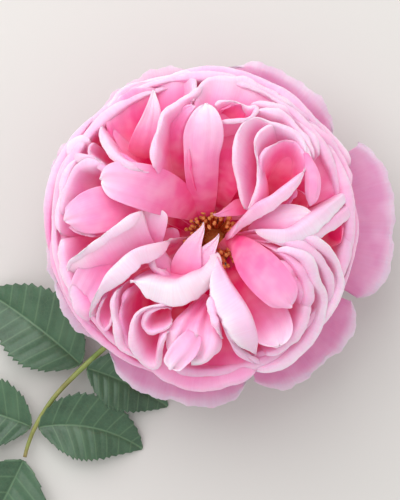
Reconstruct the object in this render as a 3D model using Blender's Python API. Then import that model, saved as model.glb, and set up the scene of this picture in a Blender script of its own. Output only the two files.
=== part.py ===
"""A cut garden rose lying face up: one quartered bloom on a short bent stem, with one leaf.

Sizes are in millimetres until a mesh is written, in metres.  Plan places are measured from
the middle of the bloom and heights from the hip's foot, below which the ground lies; only
solid() moves them to where the rose lies about the origin.  The open face looks up (+Z).
"""
import math

import bmesh
import bpy
import numpy as np

METRES = 0.001
CLEAR = 0.3             # gap kept between neighbouring pieces
ROSE_AT = (12.0, 29.6, 12.0)  # bloom's middle, so that the origin is under the whole
GROUND = -ROSE_AT[2]
BLADE = 0.8             # thickness of a petal
SOLVER = "MANIFOLD"
SWELL = 2.4 * CLEAR      # how much thicker the copy is that cuts a later piece clear
WELD = 0.006            # corners this close after a Boolean are made one
LEAF_BLADE = 0.6        # thickness of a leaf or a sepal

# The bloom
HEART = (4.3, -2.0)     # axis of hip and stamens
BALL = (0.5, 2.0)       # middle of the ball's rings
HIP_TOP = 11.2          # height of the flat top that carries stamens and inner petals
HIP_RADIUS = 8.0
LAYER = 1.6             # step between one layer of petals and the next
CROWN_HEIGHT = 55.0     # highest petal rims
CROWN_RING = 27.0       # how far from the bloom's middle they stand
CROWN_FALL = 0.05       # fall of the rims per square millimetre away from that ring
CLAW_RADIUS = 7.2       # where an inner petal's foot stands on the hip
CLAW_HEIGHT = 13.5
CLAW_WIDTH = 3.0

# The stem and the leaf
STEM_AZIMUTH = 18.0
STEM_RADII = (1.7, 2.4)
STEM_RUN = 36.0
STALK_FOOT = (6.0, -2.6, GROUND + 4.6)
STALK_JOINT = (-36.3, -41.9, GROUND + 5.5)
STALK_PAIR = (-51.5, -61.0, GROUND + 4.5)
STALK_END = (-54.6, -70.0, GROUND + 4.0)
LEAF_TIP = 0.4          # height of a leaflet's tip over the ground

COLOURS = {
    "petal": ((0.86, 0.36, 0.55), 0.55),
    "guard": ((0.82, 0.58, 0.70), 0.55),
    "leaf": ((0.08, 0.17, 0.06), 0.5),
    "stem": ((0.20, 0.26, 0.07), 0.5),
    "stamen": ((0.62, 0.30, 0.07), 0.6),
}


def empty_scene():
    """Removes whatever the open file holds."""
    for item in list(bpy.data.objects):
        bpy.data.objects.remove(item)


def material(name):
    """The Principled material of that name."""
    made = bpy.data.materials.get(name)
    if made is None:
        colour, roughness = COLOURS[name]
        made = bpy.data.materials.new(name)
        made.use_nodes = True
        shader = made.node_tree.nodes["Principled BSDF"]
        shader.inputs["Base Color"].default_value = (*colour, 1.0)
        shader.inputs["Roughness"].default_value = roughness
        shader.inputs["Metallic"].default_value = 0.0
    return made


def turn(degrees):
    """Unit vector at that azimuth in the ground plane."""
    angle = math.radians(degrees)
    return np.array([math.cos(angle), math.sin(angle)])


# Closed bodies

def solid(name, points, faces, finish):
    """Object from points in millimetres; its faces are turned outwards."""
    mesh = bpy.data.meshes.new(name)
    mesh.from_pydata(((points + np.array(ROSE_AT)) * METRES).tolist(), [], faces)
    body = bmesh.new()
    body.from_mesh(mesh)
    bmesh.ops.recalc_face_normals(body, faces=body.faces)
    body.to_mesh(mesh)
    body.free()
    mesh.materials.append(material(finish))
    made = bpy.data.objects.new(name, mesh)
    bpy.context.collection.objects.link(made)
    return made


def grid_faces(index):
    """Quads between neighbouring entries of a grid of vertex numbers."""
    corners = (index[:-1, :-1], index[:-1, 1:], index[1:, 1:], index[1:, :-1])
    return np.stack(corners, axis=-1).reshape(-1, 4).tolist()


def halved(quads, start):
    """Triangles of quads; start is 0 or 1, the corner that the diagonal leaves."""
    parts = []
    for quad in quads:
        a, b, c, d = quad[start:] + quad[:start]
        parts += [[a, b, c], [a, c, d]]
    return parts


def course(points, axis):
    """Direction along one axis of a grid: the mean of the unit steps before and after."""
    steps = np.diff(points, axis=axis)
    steps /= np.linalg.norm(steps, axis=2)[:, :, None]
    first = steps.take([0], axis=axis)
    last = steps.take([-1], axis=axis)
    before = np.concatenate([first, steps], axis=axis)
    after = np.concatenate([steps, last], axis=axis)
    return before + after


def swollen_sheets(points, thickness):
    """Copies of a blade, thicker and with its outline further out, to cut a later piece clear.

    Each takes three columns of the grid, so that none folds into itself where the blade is bent.
    """
    wide = points.copy()
    for edge, inside in ((0, 1), (-1, -2)):
        along = points[edge] - points[inside]
        wide[edge] += along / np.linalg.norm(along, axis=1)[:, None] * SWELL / 2
    for edge, inside in ((0, 1), (-1, -2)):
        along = points[:, edge] - points[:, inside]
        wide[:, edge] += along / np.linalg.norm(along, axis=1)[:, None] * SWELL / 2
    return [sheet("swollen", wide, thickness + SWELL, "petal", slice(first, first + 3))
            for first in range(points.shape[1] - 2)]


def sheet(name, points, thickness, finish, part=slice(None)):
    """Closed blade of even thickness on both sides of a grid of points, or of some columns."""
    normal = np.cross(course(points, 1), course(points, 0))
    normal /= np.linalg.norm(normal, axis=2)[:, :, None]
    front = (points + normal * thickness / 2)[:, part]
    back = (points - normal * thickness / 2)[:, part]
    rows, columns = front.shape[:2]
    near = np.arange(rows * columns).reshape(rows, columns)
    far = near + rows * columns
    rim = [side for side in (near[0], near[1:, -1], near[-1, -2::-1], near[-2:0:-1, 0])]
    loop = np.concatenate(rim)
    edge = np.stack([np.append(loop, loop[0]), np.append(loop, loop[0]) + rows * columns])
    faces = halved(grid_faces(near), 0) + halved(grid_faces(far[:, ::-1]), 1)
    faces += halved(grid_faces(edge), 0)
    vertices = np.concatenate([front.reshape(-1, 3), back.reshape(-1, 3)])
    return solid(name, vertices, faces, finish)


def tube(name, path, radii, sides, reference, finish):
    """Closed tube along a path; its first corner lies across the reference direction."""
    path = np.asarray(path, float)
    ahead = np.gradient(path, axis=0)
    ahead /= np.linalg.norm(ahead, axis=1)[:, None]
    across = np.cross(np.asarray(reference, float), ahead)
    across /= np.linalg.norm(across, axis=1)[:, None]
    up = np.cross(ahead, across)
    angle = np.arange(sides) * 2 * math.pi / sides
    spokes = (np.cos(angle)[None, :, None] * across[:, None, :]
              + np.sin(angle)[None, :, None] * up[:, None, :])
    points = path[:, None, :] + spokes * np.asarray(radii, float)[:, None, None]
    index = np.arange(len(path) * sides).reshape(len(path), sides)
    wrapped = np.concatenate([index, index[:, :1]], axis=1)
    faces = halved(grid_faces(wrapped), 0) + [index[0].tolist(), index[-1, ::-1].tolist()]
    return solid(name, points.reshape(-1, 3), faces, finish)


def turned(name, centre, profile, sides, finish):
    """Solid of revolution about a vertical axis, from radius and height pairs."""
    profile = np.asarray(profile, float)
    angle = np.arange(sides) * 2 * math.pi / sides
    points = np.stack([
        centre[0] + profile[:, :1] * np.cos(angle),
        centre[1] + profile[:, :1] * np.sin(angle),
        np.repeat(profile[:, 1:], sides, axis=1),
    ], axis=-1)
    index = np.arange(len(profile) * sides).reshape(len(profile), sides)
    wrapped = np.concatenate([index, index[:, :1]], axis=1)
    faces = halved(grid_faces(wrapped), 0) + [index[0].tolist(), index[-1, ::-1].tolist()]
    return solid(name, points.reshape(-1, 3), faces, finish)


# Joining and clearing

def largest_body(item):
    """Drops every loose scrap and sealed hollow, which are separate shells of the mesh."""
    body = bmesh.new()
    body.from_mesh(item.data)
    bmesh.ops.remove_doubles(body, verts=body.verts, dist=WELD * METRES)
    left = set(body.faces)
    shells = []
    while left:
        seed = left.pop()
        shell = [seed]
        stack = [seed]
        while stack:
            face = stack.pop()
            for edge in face.edges:
                beside = edge.link_faces if len(edge.link_faces) == 2 else ()
                for other in beside:
                    if other in left:
                        left.remove(other)
                        shell.append(other)
                        stack.append(other)
        shells.append(shell)
    shells.sort(key=lambda shell: -sum(face.calc_area() for face in shell))
    scraps = [face for shell in shells[1:] for face in shell]
    bmesh.ops.delete(body, geom=scraps, context="FACES")
    body.to_mesh(item.data)
    body.free()


def combine(item, others, operation):
    """Applies one Boolean between an object and several others, which are then removed."""
    group = bpy.data.collections.new("operands")
    for other in others:
        group.objects.link(other)
    step = item.modifiers.new(operation.lower(), "BOOLEAN")
    step.operation = operation
    step.operand_type = "COLLECTION"
    step.solver = SOLVER
    step.collection = group
    bpy.context.view_layer.update()
    result = bpy.data.meshes.new_from_object(
        item.evaluated_get(bpy.context.evaluated_depsgraph_get()))
    item.modifiers.clear()
    item.data = result
    for other in others:
        bpy.data.objects.remove(other)
    bpy.data.collections.remove(group)
    largest_body(item)
    return item


class Bloom:
    """Keeps, for each finished piece, how to make copies of its shapes that are a gap thicker."""

    def __init__(self):
        self.swollen = []

    def box(self, item):
        """Lowest and highest corner of an object."""
        flat = np.empty(len(item.data.vertices) * 3, dtype=np.float32)
        item.data.vertices.foreach_get("co", flat)
        corners = flat.reshape(-1, 3)
        return corners.min(axis=0), corners.max(axis=0)

    def clear(self, item):
        """Cuts a piece clear of those that stand before it."""
        low, high = self.box(item)
        cutters = []
        for other_low, other_high, make in self.swollen:
            if np.all(low < other_high) and np.all(high > other_low):
                cutters += make()
        if cutters:
            combine(item, cutters, "DIFFERENCE")
        return item

    def keep(self, item, make):
        """Remembers a finished piece by a function that makes its swollen copies."""
        margin = 2 * CLEAR * METRES
        low, high = self.box(item)
        self.swollen.append((low - margin, high + margin, make))
        return item


# Petals

def through(stations, heights):
    """Smooth surface through stations that run from foot to rim, read at the given heights.

    Each column is a cubic through its stations; knots follow the root of their mean distance.
    """
    stations = np.asarray(stations, float)
    steps = np.sqrt(np.linalg.norm(np.diff(stations, axis=0), axis=2).mean(axis=1))
    knots = np.concatenate([[0.0], np.cumsum(steps)])
    slopes = np.diff(stations, axis=0) / steps[:, None, None]
    inner = ((slopes[:-1] * steps[1:, None, None] + slopes[1:] * steps[:-1, None, None])
             / (steps[:-1] + steps[1:])[:, None, None])
    tangents = np.concatenate([2 * slopes[:1] - inner[:1], inner, 2 * slopes[-1:] - inner[-1:]])
    place = np.interp(heights, np.arange(len(knots)), knots)
    span = np.clip(np.searchsorted(knots, place, side="right") - 1, 0, len(knots) - 2)
    width = (knots[span + 1] - knots[span])[:, None, None]
    s = (place - knots[span])[:, None, None] / width
    return ((2 * s**3 - 3 * s**2 + 1) * stations[span]
            + (s**3 - 2 * s**2 + s) * width * tangents[span]
            + (3 * s**2 - 2 * s**3) * stations[span + 1]
            + (s**3 - s**2) * width * tangents[span + 1])


def crown(x, y):
    """Height of the petal rims over a point of the plan."""
    return CROWN_HEIGHT - CROWN_FALL * (math.hypot(x, y) - CROWN_RING) ** 2


def claw(azimuth, radius, height, width, across, side=None):
    """Foot of a petal: a short line at the hip, across its azimuth or along a given side."""
    out = turn(azimuth)
    if side is None:
        side = np.array([-out[1], out[0]])
    points = np.empty((len(across), 3))
    points[:, :2] = HEART + out * radius + across[:, None] * side * width / 2
    points[:, 2] = height
    return points


def inner_petal(left, crest, right, rise=0.0, ends=None, power=2.0, belly=None, shrink=0.85,
                lip=None, drop=1.0, foot=None, columns=7):
    """Petal of the quartered heart, by its rim seen from above.

    The rim runs from left over crest to right as a chord plus a bulge of that power.  It stands
    on the crown, rise millimetres higher, or with both ends lower by the given amounts.  Belly is
    the middle of a copy of the rim, shrunk, that the petal passes through, and lip the overhang
    of its rim in plan, with its drop.
    """
    across = np.linspace(-1.0, 1.0, columns)
    left, crest, right, heart = (np.array(p, float) for p in (left, crest, right, HEART))
    bulge = 1 - np.abs(across)[:, None] ** power
    rim = np.empty((columns, 3))
    rim[:, :2] = ((1 - across)[:, None] * left + (1 + across)[:, None] * right) / 2
    rim[:, :2] += bulge * (crest - (left + right) / 2)
    top = crown(*crest) + rise
    low = (crown(*left) + rise, crown(*right) + rise)
    if ends is not None:
        low = (top + ends[0], top + ends[1])
    rim[:, 2] = ((1 - across) * low[0] + (1 + across) * low[1]) / 2
    rim[:, 2] += bulge[:, 0] * (top - sum(low) / 2)
    if foot is None:
        middle = (left + right + 2 * crest) / 4 - heart
        foot = math.degrees(math.atan2(middle[1], middle[0]))
    chord = (right - left) / np.linalg.norm(right - left)
    root = claw(foot, CLAW_RADIUS, CLAW_HEIGHT, CLAW_WIDTH, across, chord)
    peak = np.array([*crest, top])
    if belly is None:
        start = root.mean(axis=0)
        belly = start + (peak - start) * np.array([0.78, 0.78, 0.42])
    waist = np.array(belly, float) + (rim - peak) * shrink
    if lip is None:
        return through([root, waist, rim], [0.0, 1.0, 1.55, 2.0])
    edge = rim.copy()
    taper = 1 - np.abs(across) ** 3 / 2
    edge[:, :2] += np.array(lip) * taper[:, None]
    edge[:, 2] -= drop * taper
    return through([root, waist, rim, edge], [0.0, 1.0, 2.0, 3.0])


def shell_petal(azimuth, half_width, radius, height, tilt=0.5, sag=7.0, corner=0.0,
                belly=(0.9, 15.0), dip=2.0, lip=1.5, drop=1.2, claw_height=8.5, columns=7):
    """Petal of the ball or of the skirt, by its rim in polar measure about the ball's middle.

    Its radius grows by tilt from one side to the other, so that neighbours pass under each
    other.  Towards its ends the rim sags, and draws in by corner.  Belly is a share of the rim's
    radius and a height, between which and the claw the petal dips.  Lip and drop are the
    overhang of the rim.
    """
    across = np.linspace(-1.0, 1.0, columns)
    angle = np.radians(azimuth + half_width * across)
    fall = sag * np.abs(across) ** 3
    reach = radius + tilt * across - corner * across**4

    def ring(radii, heights):
        points = np.empty((columns, 3))
        points[:, 0] = BALL[0] + radii * np.cos(angle)
        points[:, 1] = BALL[1] + radii * np.sin(angle)
        points[:, 2] = heights
        return points

    root = claw(azimuth, HIP_RADIUS + CLEAR, claw_height, CLAW_WIDTH, across)
    rim = ring(reach, height - fall)
    waist = ring(reach * belly[0], belly[1] - 0.3 * fall)
    waist[:, :2] = waist[:, :2] * 0.94 + waist[:, :2].mean(axis=0) * 0.06
    edge = ring(reach + lip, height - fall - drop)
    low = (root + waist) / 2
    low[:, 2] = claw_height - dip
    return through([root, low, waist, rim, edge], [0.0, 1.0, 2.0, 3.0, 4.0])


# Each quarter is a few petals: left end, crest and right end of the rim in plan, then what
# differs from the usual petal.
QUARTERS = {
    "quarter_upper_left": (
        [(-27.5, 30.5), (-13.5, 43.5), (-3.5, 37.5), dict(rise=1, power=3)],
        [(-26.5, 30.5), (-15.5, 40.0), (-6.5, 35.0), dict()],
        [(-29.5, 31.5), (-27.5, 23.5), (-17.5, 17.0), dict(rise=1)],
        [(-21.0, 24.5), (-13.5, 40.0), (-9.0, 32.5), dict(rise=-7, power=1.2, foot=128)],
    ),
    "quarter_top": (
        [(-13.5, 17.5), (-4.5, 38.0), (17.5, 40.0), dict(rise=2)],
        [(-3.5, 14.5), (-9.0, 26.0), (-3.0, 31.5), dict(rise=1, power=2.5)],
        [(-4.5, 24.5), (1.5, 35.0), (5.5, 27.0),
         dict(rise=2, ends=(-7, -7), belly=(1.0, 15.5, 44.0), shrink=1.0, power=2.5,
              foot=95)],
        [(3.5, 34.0), (8.0, 37.0), (15.5, 34.5), dict(rise=-1)],
        [(4.5, 21.0), (9.0, 17.5), (12.0, 10.5), dict(rise=-14)],
    ),
    "quarter_upper_right": (
        [(12.0, 7.5), (19.0, 32.5), (33.5, 7.5), dict(rise=1, power=3)],
        [(14.5, 7.5), (20.5, 29.5), (31.0, 17.0), dict(power=2.5)],
        [(16.5, 19.0), (24.5, 25.5), (30.0, 19.0), dict(rise=-3)],
        [(24.5, 34.0), (38.0, 23.0), (42.5, 9.0), dict()],
    ),
    "quarter_right": (
        [(8.5, 0.0), (20.0, 9.0), (31.0, 17.5),
         dict(rise=2, lip=(-0.5, -4.0), drop=0.6, foot=14)],
        [(16.0, 1.5), (25.0, 7.0), (32.0, 4.5), dict(rise=1, lip=(0.0, -5.0))],
        [(16.5, 0.5), (32.0, 3.5), (43.0, 11.0), dict(rise=1, lip=(0.0, -3.5))],
    ),
    "quarter_lower_right": (
        [(20.5, -19.5), (27.0, -22.0), (28.0, -15.5),
         dict(rise=1, ends=(-3, -3), belly=(16.5, -7.5, 46.0), shrink=1.5, foot=-45)],
        [(17.5, -3.5), (31.5, -12.5), (28.5, -28.5), dict()],
        [(25.5, -2.5), (37.0, -12.5), (28.5, -32.5), dict()],
        [(30.0, -1.5), (40.5, -12.5), (35.0, -28.5), dict(rise=-1)],
        [(12.0, -26.5), (20.0, -34.0), (28.0, -25.0), dict(rise=-7)],
        [(5.5, -10.5), (13.0, -22.5), (17.5, -34.5), dict(rise=3, lip=(-5.5, -2.5))],
    ),
    "quarter_bottom": (
        [(-20.0, -15.0), (-6.5, -17.0), (6.5, -10.5), dict(rise=3, lip=(-1.5, -4.5))],
        [(-10.5, -7.5), (1.0, 1.5), (-4.5, -13.5),
         dict(power=1.2, belly=(-7.0, -11.0, 40.0), foot=215)],
        [(-8.0, -22.5), (-15.5, -27.5), (-8.5, -27.0), dict(rise=-1)],
        [(-13.0, -40.0), (-3.0, -37.5), (5.5, -29.5),
         dict(rise=1, belly=(-1.5, -27.0, 48.0), shrink=0.9)],
        [(-10.0, -21.5), (-19.0, -27.0), (-15.0, -40.0), dict()],
        [(-22.5, -16.5), (-24.5, -25.0), (-20.0, -37.0), dict()],
        [(-27.0, -17.5), (-29.5, -25.0), (-26.5, -31.5), dict()],
    ),
    "quarter_left": (
        [(-8.5, -3.0), (-23.0, -11.5), (-31.0, -23.0), dict(rise=3, lip=(2.5, -3.0))],
        [(-17.0, 5.5), (-27.5, -0.5), (-38.0, -9.5), dict(rise=2, lip=(2.0, -3.0))],
        [(-37.0, -11.0), (-36.5, -18.5), (-31.0, -25.0), dict(rise=-1)],
        [(-1.0, 3.5), (-10.5, 18.5), (-26.5, 15.0),
         dict(rise=3, power=1.5, belly=(-14.5, 7.5, 44.0), shrink=0.95, foot=170)],
        [(-25.5, 12.5), (-38.0, 6.5), (-36.0, -0.5), dict(belly=(-28.5, 4.5, 44.0), shrink=0.9)],
        [(-26.5, 18.5), (-36.0, 14.0), (-39.5, 2.5), dict()],
        [(-35.5, 23.5), (-29.5, 21.0), (-21.5, 16.5), dict(rise=1)],
    ),
}
# Azimuths between which each quarter's foot stands on the hip.
FEET = {
    "quarter_upper_left": (112, 143),
    "quarter_top": (58, 110),
    "quarter_upper_right": (22, 56),
    "quarter_right": (-5, 20),
    "quarter_lower_right": (-84, -7),
    "quarter_bottom": (-152, -86),
    "quarter_left": (145, 206),
}
# Ball petals, layer by layer from the outside: azimuths, rim radius and rim height.
CUPS = (
    ((50, 140, 230, 320), 45.8, 37.0),
    ((5, 95, 185, 275), 44.0, 40.0),
    ((50, 140, 230, 320), 42.2, 42.5),
)
CUP_HALF_WIDTH = 43.5
# Skirt petals: azimuth, half width, rim radius, rim height and the height of the belly.
GUARDS = (
    (1, 26, 57.0, 13, 7), (311, 22, 54.5, 15, 8), (261, 27, 52.5, 13, 7), (207, 25, 47.0, 17, 8),
    (158, 22, 47.0, 18, 9), (111, 24, 48.5, 18, 9), (56, 27, 50.0, 20, 9),
)
# Old skirt petals that hang to the ground, by azimuth.
DROOPING = (57, 112, 167, 268, 328)


def hip_and_stem(bloom):
    """Hip, and the stem that bends from under it to lie along the ground."""
    profile = [(2.0, 0.0), (5.8, 0.8), (7.6, 2.0), (HIP_RADIUS, 5.0), (HIP_RADIUS, HIP_TOP)]

    def hip(extra=0.0):
        shape = [(radius + extra, height) for radius, height in profile]
        shape[0] = (shape[0][0], shape[0][1] - extra)
        shape[-1] = (shape[-1][0], shape[-1][1] + extra)
        return turned("hip", HEART, shape, 16, "stem")

    bloom.keep(hip(), lambda: [hip(CLEAR * 1.1)])
    out = turn(STEM_AZIMUTH)
    bend = np.linspace(0, math.pi / 2, 7)
    size = -CLEAR - GROUND - STEM_RADII[1]
    run = size * (1 - np.cos(bend))
    level = -CLEAR - size * np.sin(bend)
    run = np.append(run, size + STEM_RUN * np.array([0.3, 0.55, 0.8, 0.99, 1.0]))
    level = np.append(level, np.full(5, level[-1]))
    path = np.stack([HEART[0] + out[0] * run, HEART[1] + out[1] * run, level], axis=1)
    radii = np.interp(run, [0.0, run[-1]], STEM_RADII)
    path[:, 2] += radii - STEM_RADII[1]
    path[0, 2] = -CLEAR
    binormal = (-out[1], out[0], 0.0)

    def stem(extra=0.0):
        return tube("stem", path, radii + extra, 12, binormal, "stem")

    prickles = []
    for step, lean, side in ((7, 0.5, 1), (8, -0.3, -1), (9, 0.2, 1)):
        base = path[step]
        away = np.array([-out[1] * side, out[0] * side, 0.35])
        tip = base + away * 4.2 + np.array([*(-out * 1.6), 0.2 + lean * 0.2])
        thorn = [base + away * 1.0, base + (tip - base) * 0.7, tip]
        prickles.append(tube("prickle", thorn, (1.3, 0.5, 0.12), 6, (0, 0, 1), "stem"))
    bloom.keep(combine(stem(), prickles, "UNION"), lambda: [stem(CLEAR * 1.3)])


def sepals(bloom):
    """Five leafy sepals that fold back under the bloom."""
    for number in range(5):
        azimuth = 40 + 72 * number
        across = np.linspace(-1.0, 1.0, 5)
        rows = []
        for reach, height, width in ((6.4, 0.4, 4.6), (11.0, -0.4, 6.0), (17.0, -2.6, 4.6),
                                     (22.0, -5.4, 2.2), (25.0, -7.4, 0.9)):
            row = claw(azimuth, reach, height, width, across)
            row[:, 2] -= 0.5 * across**2
            rows.append(row)
        blade = np.array(rows)
        name = f"sepal_{number + 1}"
        piece = bloom.clear(sheet(name, blade, LEAF_BLADE, "leaf"))
        bloom.keep(piece, lambda blade=blade: swollen_sheets(blade, LEAF_BLADE))


def leaf(bloom):
    """One compound leaf: a stalk with stipules and five toothed leaflets."""
    knots = np.array([STALK_FOOT, (-8, -17, GROUND + 6.5), (-23, -30, GROUND + 6.5), STALK_JOINT,
                      (-45.5, -51.5, GROUND + 5.0), STALK_PAIR, STALK_END])
    steps = np.linspace(0, len(knots) - 1, 15)
    path = through(knots[:, None, :], steps)[:, 0]
    radii = np.interp(steps, [0, 0.6, len(knots) - 1], [1.5, 1.0, 0.7])
    stalk = tube("leaf_stalk", path, radii, 8, (0, 0, 1), "stem")
    wings = []
    for side in (-1, 1):
        rows = []
        for step, width in ((0.1, 1.6), (0.5, 2.4), (0.9, 2.2), (1.2, 1.2)):
            here = through(knots[:, None, :], [step])[0, 0]
            far = through(knots[:, None, :], [step + 0.1])[0, 0]
            ahead = (far - here)[:2] / np.linalg.norm((far - here)[:2])
            across = np.array([-ahead[1], ahead[0], 0.25 * side]) * side
            rows.append([here, here + across * (width + 1.2)])
        wings.append(sheet("stipule", np.array(rows), LEAF_BLADE, "leaf"))
    bloom.clear(combine(stalk, wings, "UNION"))
    bloom.keep(stalk, lambda: [tube("s", path, radii + 2 * CLEAR, 8, (0, 0, 1), "stem")])
    leaflets = (
        (STALK_END, 242, -6, 44, 32, 1.5), (STALK_PAIR, -12, -48, 34, 21, 2.5),
        (STALK_PAIR, 166, 20, 32, 22, 1.5), (STALK_JOINT, -26, -20, 28, 18, 2.0),
        (STALK_JOINT, 143, 15, 38, 25, 2.5),
    )
    for number, row in enumerate(leaflets):
        blade = leaflet(*row)
        name = f"leaflet_{number + 1}"
        piece = bloom.clear(sheet(name, blade, LEAF_BLADE, "leaf"))
        bloom.keep(piece, lambda blade=blade: swollen_sheets(blade, LEAF_BLADE))


def leaflet(base, azimuth, turning, length, width, arch, teeth=8):
    """Blade of one leaflet, a grid from base to tip and from edge over midrib to edge.

    The midrib turns evenly about its azimuth and arches down to the ground.  Half width is a
    sine skewed towards the base; every other row stands out as a tooth.
    """
    rows = 2 * teeth + 1
    run = np.linspace(0.0, 1.0, rows)
    half = width / 2 * np.sin(math.pi * np.clip(run, 0.02, 0.985) ** 0.85) ** 0.8
    tooth = np.where(np.arange(rows) % 2 == 1, 0.035, -0.025) * width
    half = np.maximum(half + tooth * np.sin(math.pi * run), 0.5)
    heading = np.radians(azimuth + turning * (run - 0.5))
    ahead = np.stack([np.cos(heading), np.sin(heading)], axis=1)
    side = np.stack([-ahead[:, 1], ahead[:, 0]], axis=1)
    rib = np.array(base[:2]) + 1.2 * ahead[0]
    rib = rib + (np.cumsum(ahead, axis=0) - ahead[0]) * length / (rows - 1)
    points = np.empty((rows, 3, 3))
    for column, share in enumerate((-1.0, 0.0, 1.0)):
        points[:, column, :2] = rib + side * (share * half)[:, None]
        points[:, column, 2] = base[2] + arch * np.sin(math.pi * run)
        points[:, column, 2] -= run * (base[2] - GROUND - LEAF_TIP)
        points[:, column, 2] += 0.18 * abs(share) * half
    return points


def stamens(bloom):
    """Disc of the flower with curved filaments, each with a thick anther at its end."""
    disc = turned("stamens", HEART, [(4.6, HIP_TOP + CLEAR), (4.6, HIP_TOP + 2.5),
                                     (2.6, HIP_TOP + 4.5)], 14, "stamen")
    paths = []
    for number in range(12):
        azimuth = number * 137.5
        reach = 4.0 + 3.0 * (number % 5) / 4
        out = np.array([*turn(azimuth), 0.0])
        base = np.array([*HEART, HIP_TOP + 2.0]) + out * 3.2
        top = np.array([*HEART, HIP_TOP + 13.5 - 0.35 * reach]) + out * reach
        middle = (base + top) / 2 + (0, 0, 1.5)
        paths.append([base, middle, top - (top - middle) * 0.12, top + (0, 0, 0.4),
                      top + out + (0, 0, 0.8)])

    def thread(path, extra=0.0):
        radii = np.array([0.45, 0.35, 0.35, 0.95, 0.4]) + extra
        return tube("thread", path, radii, 3, (0.1, 0.2, 0.3), "stamen")

    made = bloom.clear(combine(disc, [thread(path) for path in paths], "UNION"))
    wider = [(5.0, HIP_TOP), (5.0, HIP_TOP + 3), (3, HIP_TOP + 5)]
    bloom.keep(made, lambda: [turned("s", HEART, wider, 14, "stamen")])
    for path in paths:
        bloom.keep(made, lambda path=path: [thread(path, 2.5 * CLEAR)])


def shells(bloom):
    """Petals of the skirt and of the ball."""
    rows = []
    for number, (azimuth, half, radius, height, belly) in enumerate(GUARDS):
        rows.append((f"guard_petal_{number + 1}", "guard",
                     shell_petal(azimuth, half, radius, height, sag=2.0, corner=6.0,
                                 belly=(0.8, belly), lip=2.0, drop=0.6, claw_height=4.5)))
    for number, azimuth in enumerate(DROOPING):
        rows.append((f"drooping_petal_{number + 1}", "guard",
                     shell_petal(azimuth, 24, 42.0, GROUND + 2.4, sag=-1.0, corner=3.0,
                                 belly=(0.8, 1.0), dip=1.0, lip=1.6, drop=2.0,
                                 claw_height=2.9, columns=5)))
    for layer, (azimuths, radius, height) in enumerate(CUPS):
        for number, azimuth in enumerate(azimuths):
            rows.append((f"cup_petal_{4 * layer + number + 1}", "petal",
                         shell_petal(azimuth, CUP_HALF_WIDTH, radius, height,
                                     belly=(0.9, 15.0 + LAYER * layer),
                                     claw_height=6.1 + LAYER * layer)))
    for name, finish, blade in rows:
        piece = bloom.clear(sheet(name, blade, BLADE, finish))
        bloom.keep(piece, lambda blade=blade: swollen_sheets(blade, BLADE))


def foot_block(name, extra=0.0):
    """Wedge of a ring on the hip, from which one quarter's petals rise."""
    start, end = FEET[name]
    low = HIP_TOP + CLEAR - extra
    high = CLAW_HEIGHT + 6.0 + extra
    wall = [(5.6 - extra, low), (12.0 + extra, low), (12.5 + extra, high), (6.6 - extra, high)]
    margin = 3.0 - extra * 5.0
    ring = [[(HEART[0] + radius * math.cos(a), HEART[1] + radius * math.sin(a), z)
             for radius, z in wall]
            for a in np.radians(np.linspace(start + margin, end - margin, 6))]
    index = np.arange(24).reshape(6, 4)
    wrapped = np.concatenate([index, index[:, :1]], axis=1)
    faces = halved(grid_faces(wrapped), 0) + [index[0].tolist(), index[-1, ::-1].tolist()]
    return solid(name, np.array(ring).reshape(-1, 3), faces, "petal")


def quarters(bloom):
    """Masses of inner petals, each joined to its own foot on the hip."""
    for name, petals in QUARTERS.items():
        blades = [inner_petal(left, crest, right, **rest) for left, crest, right, rest in petals]
        strips = [sheet("strip", blade, BLADE, "petal", slice(first, first + 3))
                  for blade in blades for first in range(0, blade.shape[1] - 2, 2)]
        mass = bloom.clear(combine(foot_block(name), strips, "UNION"))
        bloom.keep(mass, lambda name=name: [foot_block(name, 0.5)])
        for blade in blades:
            bloom.keep(mass, lambda blade=blade: swollen_sheets(blade, BLADE))


def rose():
    """Builds every piece; each is cut clear of the ones before it."""
    empty_scene()
    bloom = Bloom()
    hip_and_stem(bloom)
    leaf(bloom)
    sepals(bloom)
    stamens(bloom)
    shells(bloom)
    quarters(bloom)


rose()
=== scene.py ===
"""Dresses the cut garden rose: petals, stamens, stem, leaf and a studio around them.

Laid out as an add-on: property groups hold the sizes and colours, each operator makes one group
of like pieces, and the panel lists them.  Shapes are worked out in millimetres, with plan places
from the middle of the bloom and heights from the hip's foot; lay() moves them to where the rose
lies.
"""

import math

import bpy
import numpy as np
from bpy.props import FloatProperty, FloatVectorProperty, IntProperty, PointerProperty
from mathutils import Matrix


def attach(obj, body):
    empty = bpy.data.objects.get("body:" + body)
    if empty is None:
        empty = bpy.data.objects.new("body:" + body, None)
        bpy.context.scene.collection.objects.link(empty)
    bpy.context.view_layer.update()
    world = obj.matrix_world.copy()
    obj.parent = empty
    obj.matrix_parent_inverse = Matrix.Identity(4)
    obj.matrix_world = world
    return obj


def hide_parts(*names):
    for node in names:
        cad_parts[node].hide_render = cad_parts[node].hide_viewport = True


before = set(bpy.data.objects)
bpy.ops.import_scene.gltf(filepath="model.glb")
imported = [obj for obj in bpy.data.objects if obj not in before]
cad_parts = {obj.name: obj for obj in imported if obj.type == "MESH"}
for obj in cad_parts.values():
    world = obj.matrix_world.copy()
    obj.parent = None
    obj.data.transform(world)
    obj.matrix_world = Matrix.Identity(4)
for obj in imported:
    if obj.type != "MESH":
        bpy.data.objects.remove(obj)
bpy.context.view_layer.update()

bl_info = {
    "name": "Garden rose",
    "version": (1, 0, 0),
    "blender": (4, 5, 0),
    "location": "View3D > Sidebar > Rose",
    "description": "Makes a cut quartered rose with one leaf on its packed frame",
    "category": "Add Mesh",
}

METRES = 0.001           # metres in a millimetre

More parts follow.
